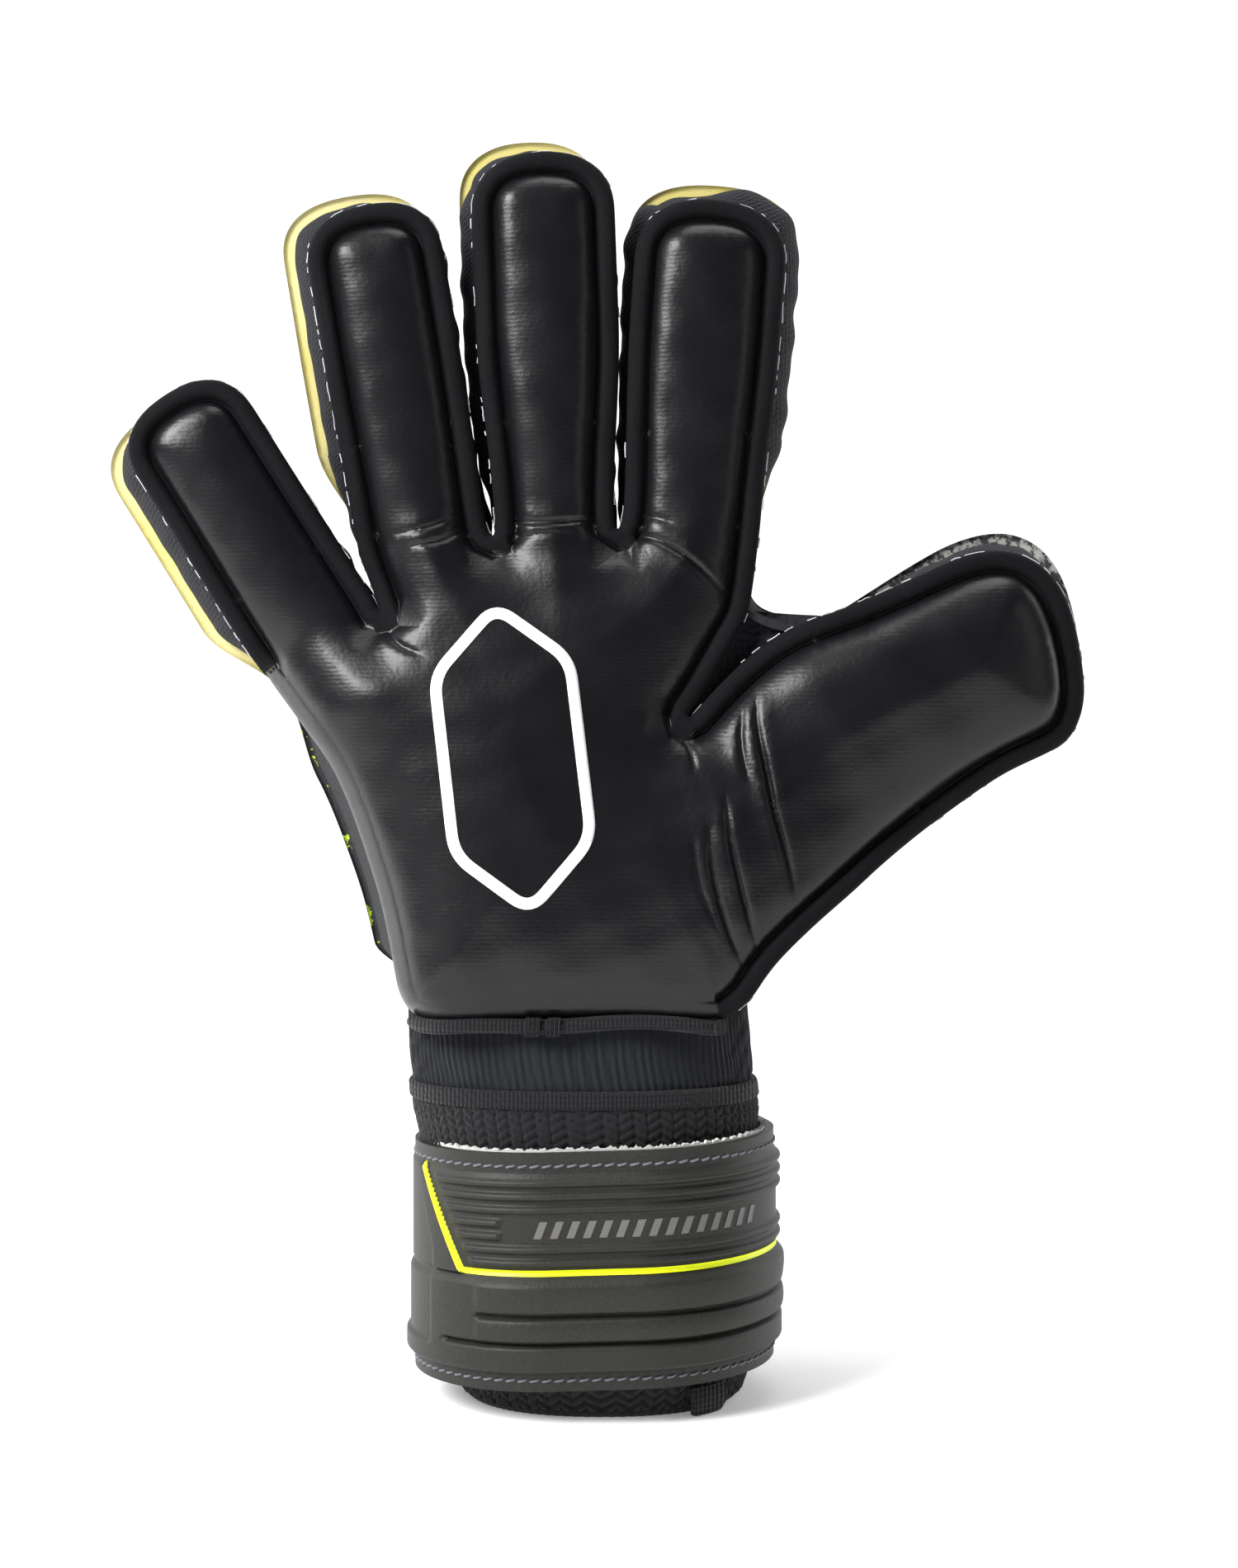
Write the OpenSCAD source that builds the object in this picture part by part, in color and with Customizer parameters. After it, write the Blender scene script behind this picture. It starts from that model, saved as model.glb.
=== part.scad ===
// Goalkeeper glove, right hand, standing on its cuff with the palm facing -Y and the fingers up.
// The origin is the middle of the footprint. Lengths are in millimetres.
// A finger has its own frame: its root is the middle of its foot, +Z runs along it and X across it.

/* [Fingers] */
// Length from root to tip: pinky, ring, middle, index
finger_length = [68, 80, 86.5, 74.5]; // [60:0.5:92]
// Half width at the root: pinky, ring, middle, index
root_half_width = [15.3, 14.2, 13.9, 15.6]; // [12:0.1:16]
// Half width at the tip: pinky, ring, middle, index
tip_half_width = [15.2, 15.2, 16, 16.8]; // [12:0.1:18]
// Lean towards the thumb side: pinky, ring, middle, index
finger_lean = [-32.5, -9, -1, 3.7]; // [-35:0.1:8]
// Sideways shift of the back of the finger: pinky, ring, middle, index
back_shift = [-3, -3, -2.5, 3]; // [-4:0.5:4]
// Distance from finger root to root hinge
root_hinge = 8; // [6:0.5:10]
// Distance from root hinge to middle hinge, as a share of the length above the root hinge
middle_share = 0.46; // [0.4:0.01:0.5]

/* [Thumb] */
// Half width of the thumb
thumb_half_width = 23.5; // [20:0.5:24]
// Length of the thumb beyond its hinge
thumb_length = 51; // [44:0.5:54]
// Lean of the thumb from upright
thumb_lean = 59; // [56:0.5:62]
// How far the thumb's foam stands in front of the fingers' foam
thumb_forward = 4; // [2:0.5:5]

/* [Layers] */
// Thickness of the palm foam
foam = 7; // [5:0.5:8]
// Depth of the room for a finger
pocket = 16.5; // [14:0.5:18]
// Depth of the room for the thumb
thumb_pocket = 22; // [18:0.5:24]
// Thickness of the back of a finger
back = 4.5; // [3:0.5:6]
// Width of the seam allowance outside the gusset
rim = 4; // [3:0.5:5]
// Thickness of the gusset mesh
mesh = 1.6; // [1.2:0.1:2]
// Thickness of the lining
lining = 1.2; // [1:0.1:1.5]
// Outward slope of palm and backhand from knuckles to heel
palm_slope = 8.5; // [7:0.5:9]

/* [Wrist] */
// Outer radius of the cuff at its sides
cuff_r = 29; // [27:0.5:30]
// Half of the straight part of the cuff
cuff_half_flat = 9; // [7:0.5:10]
// Height of the strap
strap_h = 52; // [46:1:54]
// Height of the strap's lower edge
strap_z = 8; // [6:0.5:9]
// Thickness of the strap
strap_t = 3.2; // [2.5:0.1:3.5]

/* [Travel] */
// Forward bend of each finger hinge: root, middle
finger_flex = [60, 60]; // [40:1:60]
// Forward bend of the thumb
thumb_flex = 50; // [40:1:50]
// Backward bend of a hinge
back_flex = 10; // [5:1:10]

/* [Hidden] */
$fn = 64;
FINGERS = ["pinky", "ring", "middle", "index"];
finger_root = [[-62.8, 170.5], [-38.9, 193.8], [-10.8, 198.5], [20, 199]];
hinge_lean = [finger_lean[0], 0, 0, 0];   // the pinky bends in its own line, the others straight ahead

front_y = -15;                       // outer face of the palm foam at the fingers
axis_y = front_y + foam;             // inner face of the foam, where every hinge lies
back_y = axis_y + pocket;            // inner face of the back of a finger
knuckle_z = 196;                     // where palm and backhand start to slope outwards
heel_z = 88;                         // lower edge of palm and backhand
hinge_gap = 0.3;                     // half of the clearance at a hinge
hinge_flat = 0.3;                    // half of the flat between the front and back slopes of a hinge
cuff_x = -2;                         // middle of the wrist
cuff_y = -0.8;
cuff_wall = 3;
tape_z = 69;                         // top of the knitted cuff
tape_h = 2.5;
hem_h = 2;
flap_angle = 50;                     // where the strap's free end starts, from +X about the side's centre
strap_root_angle = 150;              // where the strap is sewn on
loop_t = 1.2;
hook_t = 1.5;
flap_clear = 0.3;
strap_in_r = cuff_r + 1;             // over the felt lining
flap_in_r = cuff_r + loop_t + hook_t + flap_clear;
// The pinky's back reaches as far to one side as the thumb does to the other.
pinky_reach = -finger_root[0][0] - back_shift[0] * cos(finger_lean[0]) + tip_half_width[0] - 1
    - (finger_length[0] - tip_half_width[0] + 1) * sin(finger_lean[0]);
thumb_hinge = [
    pinky_reach - thumb_half_width - (thumb_length - thumb_half_width) * sin(thumb_lean), 153.3
];

foam_colour = [0.06, 0.06, 0.07];
mesh_colour = [0.04, 0.05, 0.07];
back_colour = [0.78, 0.74, 0.25];
grey_colour = [0.22, 0.22, 0.22];
lime_colour = [0.75, 0.95, 0.1];
felt_colour = [0.9, 0.9, 0.88];

// How far palm and backhand stand out of the fingers' planes at the heel.
heel_out = (knuckle_z - heel_z) * tan(palm_slope);
// A point of finger i at distance u across it and v along it, as [x, z].
function finger_point(i, u, v) = finger_root[i]
    + u * [cos(finger_lean[i]), -sin(finger_lean[i])] + v * [sin(finger_lean[i]), cos(finger_lean[i])];
function foot_points(i) =
    let (w = root_half_width[i] - 0.2) [finger_point(i, -w, 12), finger_point(i, w, 12)];
// The hand's outline with the feet of the fingers, as [x, z], from the heel up the pinky's side.
hand_side = [[-42, 88], [-45, 92], [-48, 104], [-54, 125], [-62, 145]];
thumb_edge = [[50.5, 174.5], [74, 133.5], [56, 117], [38, 100], [33, 88]];
web_notch = [[33, 178], [19.5, 155], [42, 174]];
web_back = [[36, 174]];
function hand_outline(web) = concat(
    hand_side, foot_points(0), [[-49.8, 178.6]], foot_points(1), [[-24.9, 197]], foot_points(2),
    [[3.7, 198.4]], foot_points(3), web, thumb_edge);
pinky_side = [[-74, 160], [-62, 145], [-54, 125], [-48, 104], [-45, 92], [-42, 88]];
index_side = [[33.5, 190], [31.5, 178], [19.5, 156.5]];
web_side = [[21, 156.5], [33, 166], [45, 173.5]];
thumb_side = [[70, 130], [55, 117.5], [37, 101], [32, 88]];
// A stretched hexagon, the plain mark printed on the palm.
print_half_w = 15;
print_half_h = 34;
print_shoulder = 20;
print_line = 3.2;
print_centre = [-15, 128];
print_turn = 7;

// Shapes drawn as [x, z] and given depth from y0 to y1.
module deep(y0, y1) {
    translate([0, y1, 0]) rotate([90, 0, 0]) linear_extrude(y1 - y0) children();
}
// Shapes drawn as [y, z] and given width w about x = 0.
module wide(w) {
    translate([-w / 2, 0, 0]) rotate([90, 0, 90]) linear_extrude(w) children();
}
module at_finger(i) {
    translate([finger_root[i][0], 0, finger_root[i][1]]) rotate([0, finger_lean[i], 0]) children();
}
module at_hinges(i) {
    translate([finger_root[i][0], 0, finger_root[i][1]]) rotate([0, hinge_lean[i], 0]) children();
}
module at_thumb() {
    translate([thumb_hinge[0], -thumb_forward, thumb_hinge[1]])
        rotate([0, thumb_lean, 0]) children();
}
// A layer with an outline in [x, z] that slopes outwards below the knuckles.
// side is -1 for the palm and 1 for the backhand; y is its face nearest the front at the knuckles.
module sloped_layer(side, y, t) {
    out = side * heel_out;
    intersection() {
        deep(-60, 60) children();
        wide(300) polygon([
            [y, 260], [y, knuckle_z], [y + out, heel_z], [y + t + out, heel_z], [y + t, knuckle_z],
            [y + t, 260]
        ]);
    }
}
// A flat finger shape, from half width w0 at the root to w1 at its round tip, where the sides are tangents.
module finger_plan(w0, w1, top) {
    c = top - w1;
    lean = atan2(c, w0) - acos(w1 / norm([w0, c]));
    x = w1 * cos(lean);
    z = c - w1 * sin(lean);
    x0 = w0 - 12 * tan(lean);
    polygon([[-x0, -12], [x0, -12], [x, z], [-x, z]]);
    translate([0, c]) circle(w1);
}
// A wall of thickness t inside a finger plan, open at the foot.
module finger_wall_plan(w0, w1, top, t) {
    difference() {
        finger_plan(w0, w1, top);
        translate([0, -1]) finger_plan(w0 - t, w1 - t, top - t + 1);
    }
}
// The room above (up = 1) or below (up = -1) a hinge at height z that bends f degrees forwards.
module beyond(z, f, up, w) {
    reach = 60;
    far = up * 300;
    edge = z + up * hinge_gap;
    wide(w) polygon([
        [axis_y - hinge_flat - reach, edge + up * reach * tan(f / 2)], [axis_y - hinge_flat, edge],
        [axis_y + hinge_flat, edge],
        [axis_y + hinge_flat + reach, edge + up * reach * tan(back_flex / 2)],
        [axis_y + hinge_flat + reach, far], [axis_y - hinge_flat - reach, far]
    ]);
}
function middle_hinge(i) = root_hinge + (finger_length[i] - root_hinge) * middle_share;

module stub_cut(i) { at_hinges(i) beyond(root_hinge, finger_flex[0], -1, 120); }
module lower_cut(i) {
    at_hinges(i) intersection() {
        beyond(root_hinge, finger_flex[0], 1, 120);
        beyond(middle_hinge(i), finger_flex[1], -1, 120);
    }
}
module tip_cut(i) { at_hinges(i) beyond(middle_hinge(i), finger_flex[1], 1, 120); }

// Layers of a finger, whole from root to tip.
module finger_foam(i) {
    at_finger(i) deep(front_y, axis_y)
        finger_plan(root_half_width[i], tip_half_width[i], finger_length[i]);
}
module finger_back(i) {
    at_finger(i) translate([back_shift[i], 0, 0]) deep(back_y, back_y + back)
        finger_plan(root_half_width[i] - 1, tip_half_width[i] - 1, finger_length[i]);
}
module finger_gusset(i) {
    at_finger(i) deep(axis_y, back_y)
        finger_wall_plan(root_half_width[i] - rim, tip_half_width[i] - rim, finger_length[i] - rim, mesh);
}
module lower_foam(i) { color(foam_colour) intersection() { finger_foam(i); lower_cut(i); } }
module lower_gusset(i) { color(mesh_colour) intersection() { finger_gusset(i); lower_cut(i); } }
module lower_back(i) { color(back_colour) intersection() { finger_back(i); lower_cut(i); } }
module tip_foam(i) { color(foam_colour) intersection() { finger_foam(i); tip_cut(i); } }
module tip_gusset(i) { color(mesh_colour) intersection() { finger_gusset(i); tip_cut(i); } }
module tip_back(i) { color(back_colour) intersection() { finger_back(i); tip_cut(i); } }

// The thumb beyond its hinge, which is at height 0 of its frame.
thumb_w = thumb_half_width;
thumb_back_y = axis_y + thumb_pocket;
module thumb_tip_foam() {
    color(foam_colour) at_thumb() intersection() {
        deep(front_y, axis_y) finger_plan(thumb_w, thumb_w, thumb_length);
        beyond(0, thumb_flex, 1, 80);
    }
}
module thumb_wall() {
    deep(axis_y, thumb_back_y)
        finger_wall_plan(thumb_w - rim, thumb_w - rim, thumb_length - rim, mesh);
}
module thumb_tip_gusset() {
    color(mesh_colour) at_thumb() intersection() { thumb_wall(); beyond(0, thumb_flex, 1, 80); }
}
module thumb_tip_back() {
    color(back_colour) at_thumb() intersection() {
        deep(thumb_back_y, thumb_back_y + back) finger_plan(thumb_w - 1, thumb_w - 1, thumb_length);
        beyond(0, thumb_flex, 1, 80);
    }
}

// What is cut from palm and backhand for the fingers and the thumb beyond their hinges.
finger_room_x = [[-17, 16.5], [-17.5, 13.6], [-14.4, 14.3], [-16.2, 17.5]];
module finger_rooms() {
    for (i = [0:3]) at_hinges(i) difference() {
        translate([finger_room_x[i][0], -50, root_hinge - 22])
            cube([finger_room_x[i][1] - finger_room_x[i][0], 100, 60]);
        beyond(root_hinge, finger_flex[0], -1, 120);
    }
}
module thumb_room() {
    at_thumb() difference() {
        translate([-30, -46, -24]) cube([60, 92, 84]);
        beyond(0, thumb_flex, -1, 80);
    }
}
module palm_foam() {
    color(foam_colour) difference() {
        sloped_layer(-1, front_y, foam) polygon(hand_outline(web_notch));
        finger_rooms();
        thumb_room();
    }
}
module palm_lining() {
    color(mesh_colour) sloped_layer(-1, axis_y, lining)
        translate([-42, heel_z + 4]) square([59, 84]);
}
module hexagon(w, h, s) { polygon([[0, h], [w, s], [w, -s], [0, -h], [-w, -s], [-w, s]]); }
module palm_print() {
    color([1, 1, 1]) sloped_layer(-1, front_y - 0.4, 0.4)
        translate(print_centre) rotate(print_turn) difference() {
            hexagon(print_half_w, print_half_h, print_shoulder);
            hexagon(print_half_w - print_line, print_half_h - 1.2 * print_line, print_shoulder - 0.6);
        }
}
module backhand_panel() {
    color(grey_colour) difference() {
        sloped_layer(1, back_y, back) polygon(hand_outline(web_back));
        finger_rooms();
        thumb_room();
    }
}
module backhand_lining() {
    color(mesh_colour) sloped_layer(1, back_y - lining, lining)
        translate([-42, heel_z + 4]) square([59, 84]);
}
rib_n = 4;
rib_pitch = 17;
module backhand_ribs() {
    color(grey_colour) sloped_layer(1, back_y + back, 2)
        for (k = [0:rib_n - 1]) translate([-40 + k * rib_pitch, 104 + 6 * (k % 2)]) {
            square([9, 52]);
            translate([4.5, 0]) circle(4.5);
            translate([4.5, 52]) circle(4.5);
        }
}

// The room inside palm and backhand, between their sloped inner faces.
module hand_room() {
    wide(300) polygon([
        [axis_y, 260], [axis_y, knuckle_z], [axis_y - heel_out, heel_z],
        [back_y + heel_out, heel_z], [back_y, knuckle_z], [back_y, 260]
    ]);
}
// Side walls of the fingers' and the thumb's feet, from 6 mm and 3 mm below their roots.
module root_gussets() {
    color(mesh_colour) {
        for (i = [0:3]) intersection() {
            at_finger(i) intersection() {
                deep(-45, 45) finger_wall_plan(
                    root_half_width[i] - rim, tip_half_width[i] - rim, finger_length[i] - rim, mesh);
                translate([-40, -50, -6]) cube([80, 100, 40]);
            }
            stub_cut(i);
            hand_room();
        }
        intersection() {
            at_thumb() intersection() {
                deep(-45, 45) finger_wall_plan(thumb_w - rim, thumb_w - rim, thumb_length - rim, mesh);
                beyond(0, thumb_flex, -1, 80);
                translate([-40, -50, -3]) cube([80, 100, 10]);
            }
            hand_room();
        }
    }
}
// A wall of thickness t along points, on their left.
function normal2(a, b) = let (d = b - a) [-d[1], d[0]] / norm(d);
function side_normal(p, k) =
    let (n0 = normal2(p[max(k - 1, 0)], p[max(k, 1)]),
         n1 = normal2(p[min(k, len(p) - 2)], p[min(k + 1, len(p) - 1)]))
    (n0 + n1) / (1 + n0 * n1);
module wall(points, t) {
    difference() {
        intersection() {
            deep(-50, 50) polygon(concat(
                points, [for (k = [len(points) - 1:-1:0]) points[k] + t * side_normal(points, k)]));
            hand_room();
        }
        root_gussets();
        thumb_room();
    }
}
module pinky_side_wrap() { color(foam_colour) wall(pinky_side, 2.5); }
module index_side_gusset() { color(mesh_colour) wall(index_side, -mesh); }
module thumb_web_gusset() { color(mesh_colour) wall(web_side, -mesh); }
module thumb_side_gusset() { color(mesh_colour) wall(thumb_side, -mesh); }

// Wrist rings: a slot-shaped section of outer radius r about the middle of the wrist.
module slot_plan(r) {
    translate([cuff_x - cuff_half_flat, cuff_y]) circle(r);
    translate([cuff_x + cuff_half_flat, cuff_y]) circle(r);
    translate([cuff_x - cuff_half_flat, cuff_y - r]) square([2 * cuff_half_flat, 2 * r]);
}
module ring_plan(r_in, r_out) { difference() { slot_plan(r_out); slot_plan(r_in); } }
// The back of the wrist from angle a0 about the thumb side's centre to a1 about the other centre.
module back_plan(a0, a1) {
    reach = 90;
    translate([0, cuff_y]) polygon([
        [cuff_x + cuff_half_flat, 0],
        [cuff_x + cuff_half_flat + reach * cos(a0), reach * sin(a0)],
        [cuff_x + cuff_half_flat, 2 * reach], [cuff_x - cuff_half_flat, 2 * reach],
        [cuff_x - cuff_half_flat + reach * cos(a1), reach * sin(a1)],
        [cuff_x - cuff_half_flat, 0]
    ]);
}
module tube(z0, z1, r_in, r_out) {
    translate([0, 0, z0]) linear_extrude(z1 - z0) ring_plan(r_in, r_out);
}
module front_tube(z0, z1, r_in, r_out, a0, a1) {
    translate([0, 0, z0]) linear_extrude(z1 - z0)
        difference() { ring_plan(r_in, r_out); back_plan(a0, a1); }
}
module back_tube(z0, z1, r_in, r_out, a0, a1) {
    translate([0, 0, z0]) linear_extrude(z1 - z0)
        intersection() { ring_plan(r_in, r_out); back_plan(a0, a1); }
}
module palm_hem_binding() {
    color(mesh_colour) front_tube(heel_z - 4, heel_z, cuff_r, cuff_r + 2, 0, 180);
}
module hem_bar_tacks() {
    color(mesh_colour) for (x = [-10.5, -6])
        translate([x, cuff_y - cuff_r - 3, heel_z - 4]) cube([3, 1, 4]);
}
module wrist_mesh() { color(mesh_colour) tube(tape_z + tape_h, heel_z, cuff_r - 2.5, cuff_r); }
module wrist_tape() { color(foam_colour) tube(tape_z, tape_z + tape_h, cuff_r - 2.5, cuff_r + 1); }
module knit_cuff() { color(foam_colour) tube(hem_h, tape_z, cuff_r - cuff_wall, cuff_r); }
module cuff_hem() { color(foam_colour) tube(0, hem_h, cuff_r - cuff_wall, cuff_r + 0.4); }
module pull_tab() {
    color(foam_colour) translate([cuff_x + cuff_half_flat, cuff_y, 0]) rotate([0, 0, -60])
        translate([cuff_r + 0.4, -6, 0]) cube([1.6, 12, 7]);
}
strap_top = strap_z + strap_h;
module strap_band() {
    color(grey_colour)
        front_tube(strap_z, strap_top, strap_in_r, strap_in_r + strap_t, flap_angle, strap_root_angle);
}
module strap_felt_lining() {
    color(felt_colour)
        front_tube(strap_z + 0.5, strap_top + 0.6, cuff_r, strap_in_r, flap_angle, strap_root_angle);
}
module strap_accent() {
    color(lime_colour) front_tube(33.3, 35.3, strap_in_r + strap_t, strap_in_r + strap_t + 0.4,
        flap_angle - 4, 200);
}
module loop_patch() {
    color(foam_colour)
        back_tube(strap_z + 3, strap_top - 3, cuff_r, cuff_r + loop_t, flap_angle + 4, strap_root_angle - 4);
}
module strap_flap() {
    color(grey_colour) back_tube(strap_z, strap_top, flap_in_r, flap_in_r + strap_t, flap_angle + 0.5, 134);
}
module hook_patch() {
    color(foam_colour) back_tube(strap_z + 5, strap_top - 5, flap_in_r - hook_t, flap_in_r,
        flap_angle + 12, 132);
}
module flap_tab() {
    color(lime_colour) translate([0, 0, strap_z + 11]) linear_extrude(strap_h - 22)
        difference() {
            intersection() { ring_plan(flap_in_r + 0.2, flap_in_r + 2.4); back_plan(flap_angle, 144); }
            back_plan(flap_angle - 5, 134);
        }
}

palm_foam();
palm_lining();
palm_print();
backhand_panel();
backhand_lining();
backhand_ribs();
pinky_side_wrap();
index_side_gusset();
thumb_web_gusset();
thumb_side_gusset();
root_gussets();
palm_hem_binding();
hem_bar_tacks();
wrist_mesh();
wrist_tape();
knit_cuff();
cuff_hem();
pull_tab();
strap_band();
strap_felt_lining();
strap_accent();
loop_patch();
strap_flap();
hook_patch();
flap_tab();
for (i = [0:3]) {
    lower_foam(i);
    lower_gusset(i);
    lower_back(i);
    tip_foam(i);
    tip_gusset(i);
    tip_back(i);
}
thumb_tip_foam();
thumb_tip_gusset();
thumb_tip_back();
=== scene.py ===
"""Looks of the goalkeeper glove: foam, mesh, knitted cuff and moulded strap around the CAD frame.

Shapes are worked out in millimetres, x to the thumb side, y into the backhand, z up, and built in metres.
"""
import math

import bpy
import numpy as np
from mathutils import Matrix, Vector
from mathutils.geometry import delaunay_2d_cdt


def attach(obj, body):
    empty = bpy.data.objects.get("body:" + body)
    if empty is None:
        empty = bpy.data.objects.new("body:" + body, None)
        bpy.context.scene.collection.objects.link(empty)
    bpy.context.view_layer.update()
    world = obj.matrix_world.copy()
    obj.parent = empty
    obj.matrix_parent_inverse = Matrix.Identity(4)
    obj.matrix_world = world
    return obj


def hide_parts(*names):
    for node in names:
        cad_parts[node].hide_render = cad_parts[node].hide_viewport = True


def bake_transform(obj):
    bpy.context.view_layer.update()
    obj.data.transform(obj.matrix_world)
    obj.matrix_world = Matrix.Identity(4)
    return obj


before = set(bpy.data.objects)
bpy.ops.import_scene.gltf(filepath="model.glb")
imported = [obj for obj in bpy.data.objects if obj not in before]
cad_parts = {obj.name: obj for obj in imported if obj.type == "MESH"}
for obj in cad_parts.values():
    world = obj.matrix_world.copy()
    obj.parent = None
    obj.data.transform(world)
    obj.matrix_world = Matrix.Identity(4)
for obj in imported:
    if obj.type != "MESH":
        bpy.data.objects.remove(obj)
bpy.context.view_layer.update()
MM = 0.001
rng = np.random.default_rng(7)


# ---------------------------------------------------------------- materials
def new_material(name, colour, rough, sheen=0.0, spec=0.5):
    """A plain material; returns it with its node tree and shader."""
    mat = bpy.data.materials.new(name)
    mat.use_nodes = True
    tree = mat.node_tree
    shader = tree.nodes["Principled BSDF"]
    shader.inputs["Base Color"].default_value = (*colour, 1)
    shader.inputs["Roughness"].default_value = rough
    shader.inputs["Sheen Weight"].default_value = sheen
    shader.inputs["Sheen Roughness"].default_value = 0.5
    shader.inputs["Specular IOR Level"].default_value = spec
    return mat, tree, shader


def node(tree, kind, **values):
    """A shader node with its inputs set by name."""
    n = tree.nodes.new(kind)
    for key, value in values.items():
        n.inputs[key].default_value = value
    return n


def coords(tree, turn=(0, 0, 0)):
    """Object coordinates, turned."""
    tex = tree.nodes.new("ShaderNodeTexCoord")
    mapping = tree.nodes.new("ShaderNodeMapping")
    mapping.inputs["Rotation"].default_value = turn
    tree.links.new(tex.outputs["Object"], mapping.inputs["Vector"])
    return mapping.outputs["Vector"]


def noise(tree, vector, scale, detail=3.0, rough=0.5):
    n = node(tree, "ShaderNodeTexNoise", Scale=scale, Detail=detail, Roughness=rough)
    tree.links.new(vector, n.inputs["Vector"])
    return n.outputs["Fac"]


def wave(tree, vector, scale, direction="Z", distort=0.0, detail=0.0):
    n = node(tree, "ShaderNodeTexWave", Scale=scale, Distortion=distort, Detail=detail)
    n.bands_direction = direction
    tree.links.new(vector, n.inputs["Vector"])
    return n.outputs["Fac"]


def maths(tree, kind, a, b):
    n = tree.nodes.new("ShaderNodeMath")
    n.operation = kind
    for slot, value in ((0, a), (1, b)):
        if isinstance(value, (int, float)):
            n.inputs[slot].default_value = value
        else:
            tree.links.new(value, n.inputs[slot])
    return n.outputs[0]


def bump(tree, shader, height, strength, distance):
    """Adds a bump on top of the shader's present normal."""
    n = node(tree, "ShaderNodeBump", Strength=strength, Distance=distance)
    tree.links.new(height, n.inputs["Height"])
    old = shader.inputs["Normal"].links
    if old:
        tree.links.new(old[0].from_socket, n.inputs["Normal"])
    tree.links.new(n.outputs["Normal"], shader.inputs["Normal"])


def colour_mix(tree, shader, fac, low, high, lo=0.4, hi=0.6):
    """Base colour from low to high as fac goes from lo to hi."""
    ramp = tree.nodes.new("ShaderNodeValToRGB")
    ramp.color_ramp.elements[0].position = lo
    ramp.color_ramp.elements[0].color = (*low, 1)
    ramp.color_ramp.elements[1].position = hi
    ramp.color_ramp.elements[1].color = (*high, 1)
    tree.links.new(fac, ramp.inputs["Fac"])
    tree.links.new(ramp.outputs["Color"], shader.inputs["Base Color"])
    return ramp


def grained(name, colour, rough, sheen, spec, scale, detail, strength, distance, noise_rough=0.5):
    """A material of one colour with fine grain."""
    mat, tree, sh = new_material(name, colour, rough, sheen, spec)
    bump(tree, sh, noise(tree, coords(tree), scale, detail, noise_rough), strength, distance)
    return mat


def make_latex():
    mat, tree, sh = new_material("latex_black", (0.004, 0.004, 0.0052), 0.4, spec=0.33)
    co = coords(tree)
    bump(tree, sh, noise(tree, co, 900, 3), 0.22, 0.00025)
    bump(tree, sh, wave(tree, co, 330, "Z", 2.0, 2), 0.06, 0.00015)
    bump(tree, sh, noise(tree, co, 60, 2), 0.12, 0.002)
    rough = maths(tree, "MULTIPLY_ADD", noise(tree, co, 120, 4), 0.10)
    rough.node.inputs[2].default_value = 0.29
    tree.links.new(rough, sh.inputs["Roughness"])
    return mat


def make_knit(name, colour, pitch, strength=0.6):
    """Fine mesh: slightly uneven round cells, with faint slanted ribs over them."""
    mat, tree, sh = new_material(name, colour, 0.75, 0.02, 0.15)
    cells = node(tree, "ShaderNodeTexVoronoi", Scale=1 / pitch, Randomness=0.35)
    tree.links.new(coords(tree), cells.inputs["Vector"])
    bump(tree, sh, cells.outputs["Distance"], strength, 0.0006)
    bump(tree, sh, wave(tree, coords(tree, turn=(0, 0.6, 0)), 0.3 / pitch, "Z", 1.0), 0.35, 0.0005)
    return mat


def make_rib_knit():
    mat, tree, sh = new_material("wrist_elastic", (0.008, 0.009, 0.012), 0.8, 0.06, 0.25)
    ribs = wave(tree, coords(tree, turn=(0, 0.12, 0)), 210, "X", 3.0, 2)
    bump(tree, sh, ribs, 0.25, 0.0005)
    bump(tree, sh, noise(tree, coords(tree), 900, 3), 0.3, 0.0005)
    return mat


def make_tape():
    mat, tree, sh = new_material("woven_tape", (0.008, 0.008, 0.010), 0.82, 0.08, 0.25)
    bump(tree, sh, wave(tree, coords(tree), 330, "X", 0.6), 0.6, 0.0004)
    bump(tree, sh, wave(tree, coords(tree), 260, "Z", 0.4), 0.5, 0.0004)
    return mat


def make_yellow():
    mat, tree, sh = new_material("latex_pale_yellow", (0.72, 0.62, 0.2), 0.62)
    co = coords(tree)
    colour_mix(tree, sh, noise(tree, co, 45, 3), (0.74, 0.66, 0.30), (0.70, 0.60, 0.16), 0.35, 0.65)
    bump(tree, sh, noise(tree, co, 1100, 4, 0.7), 0.35, 0.0004)
    return mat


def make_backhand():
    mat, tree, sh = new_material("backhand_splatter", (0.03, 0.03, 0.03), 0.6)
    co = coords(tree)
    spots = noise(tree, co, 330, 5, 0.62)
    clouds = noise(tree, co, 22, 2)
    lime = (0.62, 0.9, 0.04)
    ramp = colour_mix(tree, sh, maths(tree, "MULTIPLY", spots, maths(tree, "ADD", clouds, 0.5)),
                      (0.022, 0.022, 0.023), lime, 0.555, 0.575)
    ramp.color_ramp.elements.new(0.6).color = (*lime, 1)
    bump(tree, sh, noise(tree, co, 900, 3), 0.3, 0.0004)
    return mat


def make_thumb_back():
    mat, tree, sh = new_material("thumb_back_grey", (0.1, 0.1, 0.1), 0.65)
    co = coords(tree)
    colour_mix(tree, sh, noise(tree, co, 520, 5, 0.7), (0.035, 0.035, 0.035), (0.42, 0.42, 0.40), 0.47, 0.56)
    bump(tree, sh, noise(tree, co, 900, 3), 0.3, 0.0004)
    return mat


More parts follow.
